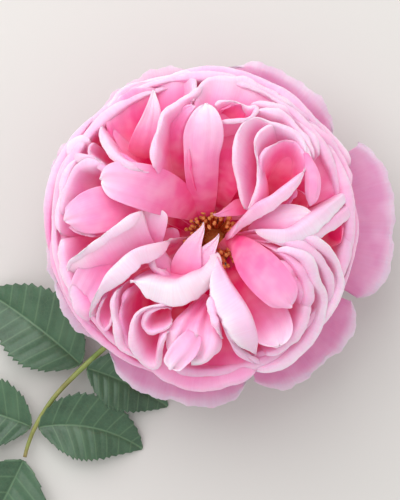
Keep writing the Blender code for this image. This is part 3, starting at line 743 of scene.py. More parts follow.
def tube(path, radii, sides, **values):
    """Closed tube along a path: rings across its direction."""
    path = np.asarray(path, float)
    ahead = np.gradient(path, axis=0)
    ahead /= np.linalg.norm(ahead, axis=1)[:, None] + 1e-12
    across = np.cross(ahead, np.array(ASIDE))
    across /= np.linalg.norm(across, axis=1)[:, None] + 1e-12
    up = np.cross(ahead, across)
    angle = np.arange(sides) * 2 * math.pi / sides
    spokes = (np.cos(angle)[None, :, None] * across[:, None, :]
              + np.sin(angle)[None, :, None] * up[:, None, :])
    radii = np.broadcast_to(np.asarray(radii, float), len(path))
    return round_shell(path[:, None, :] + spokes * radii[:, None, None], values)


def turned(centre, profile, sides, **values):
    """Closed solid of revolution about a vertical axis, from radius and height pairs."""
    profile = np.asarray(profile, float)
    angle = np.arange(sides) * 2 * math.pi / sides
    points = np.stack([
        centre[0] + profile[:, :1] * np.cos(angle),
        centre[1] + profile[:, :1] * np.sin(angle),
        np.repeat(profile[:, 1:], sides, axis=1),
    ], axis=-1)
    return round_shell(points, values)


def pick(name, shells, finish, replaced):
    """One piece from closed shells: vertices, faces, UV places and named vertex values."""
    vertices, faces, places, values, start = [], [], [], {}, 0
    for corners, cells, place, more in shells:
        vertices.append(corners)
        faces.append(cells + start)
        places.append(place)
        for key, value in more.items():
            values.setdefault(key, []).append(np.broadcast_to(value, len(corners)))
        start += len(corners)
    corners = lay(np.concatenate(vertices)).astype(np.float32)
    cells = np.concatenate(faces).astype(np.int32)
    mesh = bpy.data.meshes.new(name)
    mesh.vertices.add(len(corners))
    mesh.vertices.foreach_set("co", corners.ravel())
    mesh.loops.add(cells.size)
    mesh.loops.foreach_set("vertex_index", cells.ravel())
    mesh.polygons.add(len(cells))
    mesh.polygons.foreach_set("loop_start", np.arange(0, cells.size, cells.shape[1]))
    mesh.polygons.foreach_set("use_smooth", np.ones(len(cells), bool))
    layer = mesh.uv_layers.new(name="Blade")
    layer.data.foreach_set("uv", np.concatenate(places)[cells.ravel()].astype(np.float32).ravel())
    for key, parts in values.items():
        held = mesh.attributes.new(key, "FLOAT", "POINT")
        held.data.foreach_set("value", np.concatenate(parts).astype(np.float32))
    mesh.update()
    mesh.validate()
    mesh.materials.append(finish_of(finish))
    piece = bpy.data.objects.new(name, mesh)
    bpy.context.scene.collection.objects.link(piece)
    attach(piece, "root")
    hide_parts(*replaced)


def petal_shells(grids):
    """Closed shells of petals, each a grid with its tone.

    Depth, from which the colour is read, starts at EDGE_DEPTH, grows by EDGE_STEP over the
    first EDGE_WIDTH millimetres from the edge, and then for each millimetre from the edge and
    below the crown; tone is added to it.  The growth from the edge is the petal's own colour,
    which deepens towards its foot; the growth below the crown is painted shade, which makes the
    bloom's recesses darker.
    """
    size = sizes()
    shells = []
    for points, tone in grids:
        corners, cells, place, side = closed_blade(points, size.petal, size.rim)
        towards = np.array([*HEART, OVER_HEART]) - points
        if np.sum(surface_normal(points) * towards) < 0:
            side = 1.0 - side
        run, whole = run_up(points)
        level = crown(points[:, :, 0], points[:, :, 1])
        # Painted shade: the colour deepens for each millimetre a point lies below the crown, so the
        # recesses deep in the bloom are painted darker.
        down = np.maximum(level - points[:, :, 2] - CROWN_GAP, 0.0)
        edge = (whole - run)[:, None]
        depth_and_shade = (EDGE_DEPTH + EDGE_STEP * (1 - np.exp(-edge / EDGE_WIDTH))
                 + EDGE_SHARE * edge + PAINTED_SHADE_BELOW_CROWN * down + tone)
        depth_and_shade = np.clip(np.tile(depth_and_shade.ravel(), 2), 0.0, 1.0)
        shells.append((corners, cells, place, {"back": side, "depth_and_shade": depth_and_shade}))
    return shells


def leaf_shell(grid, rib=0.0, middle=FAR_FROM_VEIN):
    """Closed shell of a leaf's blade, with the places of its veins."""
    thick = sizes().leaf
    corners, cells, place, side = closed_blade(grid, thick, LEAF_EDGE * thick)
    if surface_normal(grid)[:, :, 2].mean() < 0:
        side = 1.0 - side
    values = {key: np.tile(np.broadcast_to(value, grid.shape[:2]).ravel(), 2)
              for key, value in (("rib", rib), ("middle", middle))}
    return corners, cells, place, {"back": side, **values}


# Each quarter's petals by name: its kind, what is drawn of it on the plan sheet (a wall's rim as
# x and y; a blade's midline as x, y, height and half width in steps), and what differs from the
# usual petal.
QUARTERS = {
    "quarter_upper_left": {
        "outer rim": (
            wall, ((106, 118), (119, 97), (134, 86), (154, 81.5), (174, 79), (186, 77), (191, 83),
                   (192.5, 95), (191, 102)),
            dict(rise=1, lip=(1.2, 1, 1, 1.5, 1.6, 1.2), belly=(-11.0, 27.0, 38.0), shrink=0.7)),
        "second rim": (
            wall, ((105, 124), (107, 118), (115, 111), (126, 102), (139, 93), (150, 90),
                   (156, 90.5)),
            dict(lip=(2.2, 2.6, 1.5, 0.5), belly=(-17.0, 20.5, 37.0), shrink=0.65, tone=0.18)),
        "broad tongue": (
            blade, ((153, 178, 16, 6), (150, 168, 26, 13), (145, 151, 42, 17), (148, 134, 47, 14.5),
                    (152, 119, 50, 10), (154, 105, 52, 6), (153, 91, 52, 1.5)),
            dict(wave=0.3, tone=-0.14)),
        "lower fold": (
            wall, ((95, 118), (101, 121), (104, 133), (110, 146.5), (120, 158.5), (134, 166.5),
                   (147, 171)),
            dict(lip=(-0.8, -1.6, -1.9, -1.6))),
        "under the lower fold": (
            wall, ((108, 128), (110, 143), (120, 154), (133, 162), (146, 167)),
            dict(rise=-4, lip=-1.2, tone=0.15)),
        "hooked lip": (
            wall, ((91, 141), (80, 144), (76, 150.5), (81.5, 156), (93.6, 157), (101, 162),
                   (105, 166)),
            dict(lip=(-2.2, -2.6, -1.5, -0.8))),
        "inside the hook": (
            wall, ((93, 143), (90, 150), (97, 160), (108, 170)),
            dict(rise=-1, tone=0.1)),
    },
    "quarter_top": {
        "left rim": (
            wall, ((154, 168), (154, 155), (157, 140), (161, 125), (166, 115), (178, 107),
                   (187, 100), (195, 94), (204, 86)),
            dict(rise=1, lip=(1, 1, 1.5, 1.5, 1))),
        "back rim": (
            wall, ((194, 97), (205, 85), (214, 82), (230, 84), (244, 85), (257, 89), (270, 95.5),
                   (284, 103.6), (297, 109)),
            dict(rise=1, lip=(1, 2, 2, 2, 1), belly=(6.0, 22.0, 44.0), shrink=0.6)),
        "left tongue": (
            blade, ((188, 190, 26, 4), (182, 172, 37, 9), (179, 152, 43, 12), (180, 134, 47, 13),
                    (185, 119, 49, 11), (194, 106, 50, 8)),
            dict(wave=0.4, tone=0.08)),
        "middle tongue": (
            blade, ((206, 216, 24, 7), (203, 195, 36, 14), (201, 175, 45, 17), (201, 155, 50, 18),
                    (203, 137, 53, 20), (205, 120, 55, 17), (205, 104, 54, 14)),
            dict(fold=0.2, folds=1.5, tone=-0.12, wave=0.3, rounding=0.16)),
        "small curl": (
            wall, ((215.5, 106), (219.5, 103), (229, 101.6), (238, 103.6), (249, 109), (255.6, 109),
                   (253, 114), (246, 118), (234, 120), (219.5, 121.6)),
            dict(lip=0.8)),
        "inside the curl": (
            blade, ((228, 124, 42, 4), (230, 118, 44, 10), (232, 111, 46, 13), (232, 105, 48, 11)),
            dict(camber=-0.2, tone=0.35)),
        "right tongue": (
            blade, ((230, 164, 34, 5), (228, 152, 38, 9), (228, 140, 42, 10), (228, 128, 45, 10),
                    (228, 122, 46, 8)),
            dict(camber=-0.15, tone=0.35)),
        "right flank": (
            blade, ((238, 208, 16, 4), (233, 196, 24, 9), (229, 182, 31, 11), (225, 168, 36, 8),
                    (222, 158, 39, 3)),
            dict(tone=0.3, wave=0.3)),
        "low cross petal": (
            blade, ((252, 200, 30, 5), (246, 205, 33, 7), (238, 208, 35, 8), (228, 211, 35, 5.5),
                    (218, 214, 34, 2), (214, 215, 33, 0.6)),
            dict(wave=0.2, tone=0.1)),
    },
    "quarter_upper_right": {
        "oval rim": (
            wall, ((245, 208), (241, 192), (237, 164), (236, 144), (239.5, 130), (246, 121),
                   (257, 119), (270, 123), (284, 130), (297, 137), (304, 146), (310.5, 164)),
            dict(lip=0.9, belly=(18.5, 20.0, 38.0), shrink=0.62)),
        "right side of the oval": (
            blade, ((304, 150, 46, 1), (309, 161, 51, 4), (313, 177, 52, 7.5), (312, 193, 51, 7.5),
                    (310, 206, 48, 4)),
            dict(camber=0.35, wave=0.2)),
        "second oval": (
            wall, ((248, 211), (257, 192), (259, 170.5), (255.6, 150), (257, 137), (265, 129),
                   (275.7, 125), (286, 129), (297, 137), (306.5, 154), (308, 170)),
            dict(rise=-0.5, lip=0.7, belly=(20.0, 18.0, 38.0), shrink=0.55)),
        "inner oval": (
            wall, ((259, 196), (260, 175), (262, 157), (272, 146), (284, 142), (294.5, 143),
                   (301, 151), (306.5, 164), (308, 176)),
            dict(rise=-2, lip=0.7, tone=0.12, belly=(20.5, 15.0, 37.0), shrink=0.5)),
        "first arc": (
            wall, ((255, 110), (270, 114), (285, 120), (297, 131), (306, 143), (314, 158)),
            dict(rise=0.5, lip=1.6)),
        "second arc": (
            wall, ((252, 104), (268, 107), (285, 113), (300, 125), (312, 140), (318, 156)),
            dict(lip=1.6)),
        "shoulder": (
            wall, ((300, 122), (313, 132), (326, 143), (337, 156), (344, 172), (348, 190)),
            dict(lip=2, belly=(30.5, 16.0, 40.0), shrink=0.7, tone=0.05)),
        "outer arc": (
            wall, ((262, 97), (280, 104), (300, 115), (320, 130), (335, 145), (348, 165)),
            dict(rise=-1, lip=2)),
    },
    "quarter_right": {
        "upper fold": (
            wall, ((230, 237.5), (234, 229.5), (243.6, 219), (257, 206.7), (270, 198.7), (284, 189),
                   (297, 177), (306.5, 169)),
            dict(rise=2, lip=(-2, -2.8, -2.8, -1.5))),
        "tongue": (
            blade, ((250, 229, 38, 2), (266, 222, 46, 9), (280, 218, 50, 12), (297, 215, 51, 11),
                    (312, 214.5, 49, 5)),
            dict(wave=0.2, tone=-0.2, camber=0.25)),
        "middle fold": (
            wall, ((256, 229), (273, 231), (290, 231), (305, 224), (320, 212), (335, 200),
                   (348, 191)),
            dict(lip=(-2.5, -3.5, -4, -3), tone=-0.08)),
        "lower fold": (
            wall, ((262, 235), (285, 239), (305, 235), (325, 223), (345, 207), (351, 195)),
            dict(rise=-1, lip=(-1.5, -3, -3.2, -2.5))),
        "fold in the gap": (
            wall, ((272, 213), (283, 206), (291, 199), (295, 190)),
            dict(rise=-6, lip=-0.8, tone=0.2)),
        # Painted shade: these two deep faces are dark-toned sheets set low in the gaps between the
        # folds, where shade falls.
        "deep face in the gap": (
            blade, ((268, 222, 32, 4), (282, 212, 36, 9), (296, 202, 40, 12), (306, 196, 43, 10)),
            dict(camber=-0.2, tone=0.55)),
        "deep face at the rim": (
            blade, ((300, 244, 34, 5), (318, 238, 38, 12), (332, 230, 41, 16), (342, 226, 43, 14)),
            dict(camber=-0.2, tone=0.6)),
    },
    "quarter_lower_right": {
        "inner tongue": (
            blade, ((220, 250, 18, 3), (230, 244, 34, 8), (243, 250, 46, 15), (256, 264, 52, 20),
                    (270, 280, 55, 21), (284, 295, 55, 18), (292, 305, 53, 12)),
            dict(wave=0.4, camber=0.2, tone=0.04, rounding=0.09)),
        "wide fold": (
            wall, ((275.7, 252), (292, 253.5), (304, 260), (309, 271), (314.5, 284), (320, 298),
                   (318.6, 314), (310.5, 331), (297, 347), (284, 359), (270, 366), (257, 368.6)),
            dict(lip=2.6, tone=-0.05)),
        "outer fold": (
            wall, ((301, 235), (316, 244), (328, 256), (336, 269.6), (337, 284), (332, 300),
                   (325, 312), (315, 330)),
            dict(lip=2.2, tone=-0.05)),
        "second fold": (
            wall, ((268, 243), (285, 243), (303, 250), (317, 263), (325, 279), (327, 296),
                   (323, 312)),
            dict(rise=-1, lip=2.4)),
        "third fold": (
            wall, ((278, 252), (290, 262), (300, 276), (305, 292), (304, 310)),
            dict(rise=-1, lip=2.2, tone=0.05)),
        "fourth fold": (
            wall, ((276, 262), (288, 274), (297, 288), (300, 304)),
            dict(rise=-2, lip=2, tone=0.1)),
        "lower fold": (
            wall, ((306, 300), (302, 318), (292, 334), (280, 346), (266, 353)),
            dict(rise=-1, lip=2.2)),
        "broad tongue": (
            blade, ((230, 268, 24, 6), (240, 283, 33, 14), (252, 299, 40, 21), (264, 315, 44, 24),
                    (273, 330, 47, 22), (279, 346, 48, 14.9)),
            dict(wave=0.4, camber=-0.08, fold=0.4, folds=2, tone=-0.1)),
        "pale roll": (
            wall, ((217, 256), (223.5, 273.6), (235.5, 295), (246, 311), (254, 335), (257, 356)),
            dict(rise=2, lip=(-1.5, -5.5, -7, -7.5, -6, -3), tone=-0.1)),
        "under the pale roll": (
            wall, ((212, 312), (220, 320), (233, 342), (248, 356), (262, 364)),
            dict(rise=-2, lip=1)),
    },
    "quarter_bottom": {
        "bright roll": (
            wall, ((129.7, 281.6), (144.5, 281.6), (160.6, 285.6), (174, 287), (187, 281.6),
                   (200.7, 273.6), (210, 260), (211, 253.5)),
            dict(rise=3, lip=(-1, -4.5, -5.5, -6, -5, -4), droop=0.3, tone=-0.22)),
        "left loop": (
            wall, ((106, 297), (99.5, 306), (97.5, 319), (101, 328), (106, 331), (111, 326),
                   (113, 315), (110.5, 302)),
            dict(rise=-1, lip=0.7, wave=0.1, belly=(-25.0, -19.0, 40.0), shrink=0.5, tone=0.1)),
        "left fold": (
            wall, ((122, 287), (115, 299), (115, 314), (118, 330), (123, 345), (134, 355),
                   (144.5, 362)),
            dict(lip=-1.3, belly=(-19.0, -22.0, 38.0), shrink=0.7)),
        "second left fold": (
            wall, ((130, 288), (124, 303), (123, 322), (129, 341), (136, 354)),
            dict(rise=-2, lip=-1.2, tone=0.15)),
        "cup rim": (
            wall, ((167, 305.7), (147, 308.4), (138, 316.5), (134, 327), (134, 341), (139, 354),
                   (147, 362), (155, 365), (158, 351), (161, 341), (169, 332.5)),
            dict(lip=-1.3, belly=(-14.5, -28.0, 40.0), shrink=0.55)),
        "inner cup": (
            wall, ((170, 309), (158, 309), (148, 315), (144, 324), (150, 331), (160.6, 330),
                   (169, 326), (172, 320)),
            dict(rise=-2, lip=-0.8, tone=0.05, wave=0.2, belly=(-12.5, -23.0, 40.0), shrink=0.5)),
        "broad face": (
            blade, ((210, 297, 38, 8), (204, 310, 45, 14), (198, 324, 50, 23), (194, 338, 52, 28),
                    (192, 350, 51, 26), (190, 360, 49, 19)),
            dict(fold=0.9, wave=0.6, tone=-0.14, rounding=0.1)),
        "small face": (
            blade, ((194, 334, 52, 8), (186, 347, 54, 13), (178, 358, 53.5, 12), (171, 367, 51, 9)),
            dict(wave=0.5, tone=-0.1, fold=0.3, folds=2)),
        "edge of the broad face": (
            wall, ((211, 294), (214, 315), (219, 331), (222, 338)),
            dict(rise=1, lip=-1.2)),
        "outer rim": (
            wall, ((150, 364), (163, 374), (180, 381), (205, 385), (228, 379), (256, 369)),
            dict(lip=(-1.5, -2.2, -2.2, -1.5), belly=(3.0, -31.0, 36.0), shrink=0.6, tone=0.08)),
        "right fold": (
            wall, ((213, 300), (222, 325), (235, 348), (250, 362), (262, 366)),
            dict(rise=-2, lip=1)),
        "left inner tongue": (
            blade, ((186, 292, 28, 6), (184, 284, 33, 12), (186, 265, 37, 15), (194, 245, 38, 9),
                    (201, 230, 37, 3), (204, 223, 36, 1)),
            dict(wave=0.2, tone=-0.12, camber=0.05)),
        "right inner tongue": (
            blade, ((178, 290, 26, 6), (184, 284, 31, 10), (195, 270, 35, 12), (207, 253, 37, 8),
                    (215, 241, 37, 3), (219, 235, 36, 1)),
            dict(wave=0.2, tone=-0.12, camber=0.05)),
        "small loop": (
            wall, ((165, 252), (155, 251), (150, 258), (152, 268), (160, 272), (166, 268)),
            dict(rise=-6, lip=1, belly=(-9.0, -14.0, 36.0), tone=-0.1)),
        "small tongue": (
            blade, ((173, 250, 24, 5), (172, 243, 28, 7), (171, 235, 30, 8), (171, 228, 31, 5)),
            dict(wave=0.1, tone=0.1)),
    },
    "quarter_left": {
        "upper tongue": (
            blade, ((199, 219, 22, 4), (190, 210, 32, 12), (174, 199, 42, 20), (154, 190, 50, 23),
                    (132, 184, 54, 22), (114, 181, 54.5, 19), (101, 181, 52, 16)),
            dict(wave=0.3, tone=-0.06, camber=0.03)),
        "left tongue": (
            blade, ((140, 203, 44, 8), (122, 205, 49, 18), (104, 208, 51, 23), (86, 213, 51, 21),
                    (74, 218, 50, 16), (66, 221, 48, 10)),
            dict(wave=0.4, tone=-0.02, rounding=0.08)),
        "bright fold": (
            wall, ((142, 210), (127, 218), (107, 230), (94, 242), (80, 252), (69, 262), (67, 270)),
            dict(rise=1, lip=(1.5, 2.8, 2.8, 2, 1), belly=(-24.0, -10.0, 42.0), tone=-0.22)),
        "lower tongue": (
            blade, ((120, 236, 34, 4), (112, 250, 43, 10), (100, 266, 46, 17), (88, 288, 45, 18),
                    (80, 306, 42, 12)),
            dict(wave=0.5, tone=-0.12, roll=-10, camber=0.15)),
        "long roll": (
            wall, ((168.6, 239), (154, 247), (134, 252), (120, 264), (104, 279), (94, 295),
                   (90, 310), (89, 318)),
            dict(rise=2, lip=(3, 4.2, 4.5, 4, 2.5, 1.5), tone=-0.28)),
        "upper rim": (
            wall, ((63, 216), (65.5, 200), (71, 184), (80, 171.6), (94, 165), (107, 166)),
            dict(rise=-0.5, lip=1.8, belly=(-27.0, 13.5, 40.0), shrink=0.6, tone=0.05)),
        "small fold": (
            wall, ((66, 225), (72, 230), (82, 234), (97, 236)),
            dict(rise=-6, lip=0.8, wave=0.1, belly=(-27.0, 0.0, 36.0), shrink=0.6)),
        "outer rim": (
            wall, ((60, 235), (59, 215), (62, 195), (68, 176), (78, 158)),
            dict(lip=1.4)),
        "lower rim": (
            wall, ((64, 240), (66, 258), (70, 275), (78, 295), (88, 320)),
            dict(rise=-1, lip=-2.4)),
        "inner face": (
            blade, ((146, 268, 26, 6), (149, 250, 34, 10), (153, 232, 41, 13), (154, 218, 44, 14),
                    (154, 209, 45, 12)),
            dict(wave=0.2, tone=-0.1)),
        # Painted shade: a dark-toned sheet set low in the gap between the bright fold, the inner
        # face and the long roll, where shade falls.
        "deep face": (
            blade, ((142, 262, 30, 8), (130, 250, 35, 12), (127, 236, 38, 12), (134, 222, 40, 8)),
            dict(camber=-0.2, tone=0.5)),
    },
}
# Ball petals, layer by layer from the outside: azimuths, rim radius and rim height.
CUPS = (
    ((50, 140, 230, 320), 44.1, 37.0),
    ((5, 95, 185, 275), 42.5, 40.5),
    ((50, 140, 230, 320), 41.3, 42.5),
)
CUP_HALF = 51.0          # half of the angle that a ball petal covers
CUP_RISE = 1.6           # of belly and claw, from layer to layer
# Skirt petals: azimuth, half width in degrees, rim radius, rim height and height of the belly.
GUARDS = (
    (1, 26, 57.0, 13, 7), (311, 22, 54.5, 15, 8), (261, 27, 52.5, 13, 7), (207, 25, 47.0, 17, 8),
    (158, 22, 46.0, 18, 9), (111, 24, 46.5, 18, 9), (56, 27, 50.0, 20, 9),
)
# Old skirt petals that hang to the ground, by azimuth.
DROOPING = (57, 112, 167, 268, 328)
# Stamens: a disc by radius and height over the hip, and threads spread by the golden turn.
DISC = ((0.3, 0.0), (4.6, 0.0), (4.6, 2.5), (2.6, 4.5), (0.3, 5.0))
STAMENS = 110
STAMEN_SEED = 5
GOLDEN_TURN = 137.5
RINGS = 16               # of stamen heads
THREAD_FOOT = (2.8, 2.0)     # distance from the axis and height over the hip
THREAD_ARCH = 1.5
NEAR_HEAD = 3.5          # a head's distance from the axis
FAR_HEAD = 9.0
HEAD_HEIGHT = 17.5       # over the hip, at the axis
HEAD_FALL = 0.35         # for each millimetre from the axis
SCATTER = (0.8, 0.8, 1.5)
THREAD_RADIUS = 0.22
SAC_RADIUS = 0.62
SAC_HALF = 0.7           # of its length
# Hip by radius and height; the stem bends down from it and runs level on the ground.
HIP = ((0.4, 0.0), (3.0, 0.1), (5.6, 0.8), (7.3, 2.2), (8.0, 4.6), (8.0, 8.0), (7.8, HIP_TOP),
       (0.4, HIP_TOP))
STEM_AZIMUTH = 18.0
STEM_TOP = -0.3
STEM_LEVEL_RUN = 36.0
THIN_STEM = 1.7          # radius under the hip
THICK_STEM = 2.4         # radius at the cut
BEND_STEPS = 12
LEVEL_STEPS = 24
# Prickles: share of the level run, lean of the tip, and side.
PRICKLES = ((0.3, 0.5, 1), (0.55, -0.3, -1), (0.8, 0.2, 1))
PRICKLE_LENGTH = 4.2
PRICKLE_HOOK = 1.6
PRICKLE_STEPS = 12
# Sepals: distance from the hip's axis, height and width along one, and the first one's azimuth.
SEPAL = ((6.4, 0.4, 4.6), (11.0, -0.4, 6.0), (17.0, -2.6, 4.6), (22.0, -5.4, 2.2),
         (25.0, -7.4, 0.9))
SEPALS = 5
FIRST_SEPAL = 40
# Stipules at the stalk's foot: place along the stalk's knots, and width.
STIPULE = ((0.1, 0.8), (0.5, 2.4), (0.9, 2.2), (1.2, 0.8))
# Leaflets: base, azimuth, turning, length, width and arch.
LEAFLETS = (
    (STALK_END, 242, -6, 44, 32, 1.5), (STALK_PAIR, -12, -48, 34, 21, 2.5),
    (STALK_PAIR, 166, 20, 32, 22, 1.5), (STALK_JOINT, -26, -20, 28, 18, 2.0),
    (STALK_JOINT, 143, 15, 38, 25, 2.5),
)


def make_quarters():
    """Seven masses of inner petals."""
    seed = FIRST_SEED
    for name, petals in QUARTERS.items():
        grids = []
        for kind, drawn, rest in petals.values():
            grids.append(kind(drawn, seed=seed, **rest))
            seed += 1
        pick(name.replace("quarter", "petals"), petal_shells(grids), "petal", (name,))


def make_cups():
    """Petals of the ball."""
    for layer, (azimuths, radius, height) in enumerate(CUPS):
        for number, azimuth in enumerate(azimuths):
            rise = CUP_RISE * layer
            grid = ring_petal(azimuth, CUP_HALF, radius, height, belly=(0.9, 15.0 + rise),
                              claw_height=6.1 + rise, seed=10 * layer + number,
                              tilt=1.0, lip=2.1, drop=1.5, wave=0.5, ragged=0.2, tone=0.03)
            order = len(azimuths) * layer + number + 1
            pick(f"ball_petal_{order}", petal_shells([grid]), "ball",
                 (f"cup_petal_{order}",))


def make_guards():
    """Skirt of broad faded petals, and the old ones that hang to the ground."""
    for number, (azimuth, half, radius, height, belly) in enumerate(GUARDS):
        grid = ring_petal(azimuth, half, radius, height, sag=2.0, corner=4.5,
                          belly=(0.8, belly), lip=2.0, drop=0.6, claw_height=4.5,
                          seed=60 + number, wave=0.8, ragged=0.35)
        pick(f"skirt_petal_{number + 1}", petal_shells([grid]), "guard",
             (f"guard_petal_{number + 1}",))
    for number, azimuth in enumerate(DROOPING):
        grid = ring_petal(azimuth, 24, 42.0, GROUND + 2.6, sag=-1.0, corner=5.0,
                          belly=(0.8, 1.0), dip=1.0, lip=1.6, drop=1.6, claw_height=2.9,
                          seed=80 + number, wave=0.8, ragged=0.4)
        pick(f"hanging_petal_{number + 1}", petal_shells([grid]), "guard",
             (f"drooping_petal_{number + 1}",))


def make_stamens():
    """Disc with curved threads that carry pollen sacs.

    A head's distance from the axis grows with the square root of its ring's number, so that
    heads lie evenly; a sac is an ellipsoid.
    """
    disc = [(radius, HIP_TOP + height) for radius, height in DISC]
    shells = [turned(HEART, disc, 20, head=0.3)]
    chance = np.random.default_rng(STAMEN_SEED)
    for number in range(STAMENS):
        out = np.array([*turn(number * GOLDEN_TURN), 0.0])
        spread = math.sqrt((number % RINGS + 0.5) / RINGS)
        reach = NEAR_HEAD + (FAR_HEAD - NEAR_HEAD) * spread
        base = np.array([*HEART, HIP_TOP + THREAD_FOOT[1]]) + out * THREAD_FOOT[0]
        top = np.array([*HEART, HIP_TOP + HEAD_HEIGHT - HEAD_FALL * reach]) + out * reach
        top += chance.uniform(-1, 1, 3) * SCATTER
        middle = (base + top) / 2 + np.array([0, 0, THREAD_ARCH])
        path = curve([base, middle, top], np.linspace(0, 1, 9))
        shells.append(tube(path, THREAD_RADIUS, 6, head=0.0))
        along = out * chance.uniform(0.6, 1.2) + np.array([0, 0, chance.uniform(-0.4, 0.8)])
        sac = top + np.linspace(-SAC_HALF, SAC_HALF, 7)[:, None] * along
        fat = SAC_RADIUS * np.sqrt(np.clip(1 - np.linspace(-1, 1, 7)**2, 0.04, 1))
        shells.append(tube(sac, fat, 8, head=1.0))
    pick("stamen_threads", shells, "stamen", ("stamens",))


def make_stem():
    """Hip, and the stem: a quarter circle down from it, a level run, and prickles."""
    pick("hip_skin", [turned(HEART, HIP, 48, blush=0.3)], "stem", ("hip",))
    out = turn(STEM_AZIMUTH)
    bend = np.linspace(0, math.pi / 2, BEND_STEPS)
    radius = STEM_TOP - GROUND - THICK_STEM
    level_run = radius + STEM_LEVEL_RUN * np.linspace(0.04, 1.0, LEVEL_STEPS)
    run = np.append(radius * (1 - np.cos(bend)), level_run)
    height = np.append(STEM_TOP - radius * np.sin(bend), np.full(LEVEL_STEPS, STEM_TOP - radius))
    path = np.stack([HEART[0] + out[0] * run, HEART[1] + out[1] * run, height], axis=1)
    radii = np.interp(run, [0.0, run[-1]], (THIN_STEM, THICK_STEM))
    path[:, 2] += radii - THICK_STEM
    shells = [tube(path, radii, 24, blush=0.45)]
    steps = np.linspace(0, 1, PRICKLE_STEPS)
    for share, lean, side in PRICKLES:
        base = path[BEND_STEPS + int(share * (LEVEL_STEPS - 1))]
        away = np.array([-out[1] * side, out[0] * side, 0.35])
        hook = np.array([*(-out * PRICKLE_HOOK), 0.2 + lean * 0.2])
        tip = base + away * PRICKLE_LENGTH + hook
        prickle = curve([base + away * 1.0, base + (tip - base) * 0.6, tip], steps)
        shells.append(tube(prickle, 1.35 * (1 - steps)**1.4 + 0.08, 12, blush=1.0))
    pick("stem_skin", shells, "stem", ("stem",))


def make_sepals():
    """Five sepals folded back, each a surface through rows whose sides fall with the square."""
    across = np.linspace(-1.0, 1.0, 20)
    for number in range(SEPALS):
        azimuth = FIRST_SEPAL + 360 // SEPALS * number
        rows = []
        for reach, height, width in SEPAL:
            row = claw(azimuth, reach, height, width, across)
            row[:, 2] -= 0.5 * across**2
            rows.append(row)
        grid = through(rows, np.linspace(0, len(SEPAL) - 1, 30))
        pick(f"sepal_blade_{number + 1}", [leaf_shell(grid)], "leaf", (f"sepal_{number + 1}",))


def leaflet(base, azimuth, turning, length, width, arch):
    """Leaflet: grid, and for its veins the number along them and the distance to the midrib.

    The midrib turns evenly about its azimuth and arches down to the ground.  Half width is a
    sine skewed towards the base, plus saw teeth that lean to the tip.  Between its side veins
    the blade is quilted up by a cosine, and it sinks along the midrib.
    """
    teeth = sizes().teeth
    rows = ROWS_A_TOOTH * teeth + 1
    run = np.linspace(0.0, 1.0, rows)
    half = width / 2 * np.sin(math.pi * np.clip(run, 0.004, 0.996) ** 0.85) ** 0.8
    saw = (run * teeth) % 1.0
    half = half + TOOTH * width * (saw ** 1.3 - 0.5) * np.sin(math.pi * run) ** 0.5
    half = np.maximum(half, 0.35)
    heading = np.radians(azimuth + turning * (run - 0.5))
    ahead = np.stack([np.cos(heading), np.sin(heading)], axis=1)
    side = np.stack([-ahead[:, 1], ahead[:, 0]], axis=1)
    line = np.array(base[:2]) + 1.2 * ahead[0]
    line = line + (np.cumsum(ahead, axis=0) - ahead[0]) * length / (rows - 1)
    share = np.linspace(-1.0, 1.0, LEAF_COLUMNS)[None, :]
    grid = np.empty((rows, LEAF_COLUMNS, 3))
    grid[:, :, :2] = line[:, None, :] + side[:, None, :] * (share * half[:, None])[:, :, None]
    lean = VEIN_LEAN * np.abs(share) * half[:, None] / length
    rib = VEINS * (run[:, None] - lean)
    middle = np.abs(share) * half[:, None]
    height = base[2] + arch * np.sin(math.pi * run) - run * (base[2] - GROUND - LEAF_LIFT)
    grid[:, :, 2] = height[:, None] + LEAF_CUP * middle
    quilt = np.abs(np.cos(math.pi * rib)) * np.clip(middle / 2.0, 0, 1)
    edge = np.clip((1 - np.abs(share)) * 4, 0, 1)
    grid[:, :, 2] += QUILT * (quilt - 0.5) * edge - QUILT * np.exp(-(middle / 0.7) ** 2)
    grid[:, :, 2] = np.maximum(grid[:, :, 2], GROUND + LEAF_LIFT)
    return grid, rib, middle


def make_leaf():
    """One compound leaf: a stalk with its wings, and five toothed leaflets."""
    knots = np.array([STALK_FOOT, (-8, -17, GROUND + 6.5), (-23, -30, GROUND + 6.5), STALK_JOINT,
                      (-45.5, -51.5, GROUND + 5.0), STALK_PAIR, STALK_END])
    steps = np.linspace(0, len(knots) - 1, 60)
    path = through(knots[:, None, :], steps)[:, 0]
    radii = np.interp(steps, [0, 0.6, len(knots) - 1], [1.5, 1.0, 0.6])
    shells = [tube(path, radii, 16, blush=0.7)]
    for side in (-1, 1):
        rows = []
        for step, width in STIPULE:
            here, far = through(knots[:, None, :], [step, step + 0.1])[:, 0]
            ahead = (far - here)[:2] / np.linalg.norm((far - here)[:2])
            across = np.array([-ahead[1], ahead[0], 0.25 * side]) * side
            rows.append(here + np.linspace(0, 1, 8)[:, None] * across * (width + 1.2))
        grid = through(rows, np.linspace(0, len(STIPULE) - 1, 24))
        corners, cells, place, _ = closed_blade(grid, 0.5, 0.4)
        shells.append((corners, cells, place, {"blush": 0.2}))
    pick("leaf_stalk_skin", shells, "stem", ("leaf_stalk",))
    for number, row in enumerate(LEAFLETS):
        pick(f"leaflet_blade_{number + 1}", [leaf_shell(*leaflet(*row))], "leaf",
             (f"leaflet_{number + 1}",))


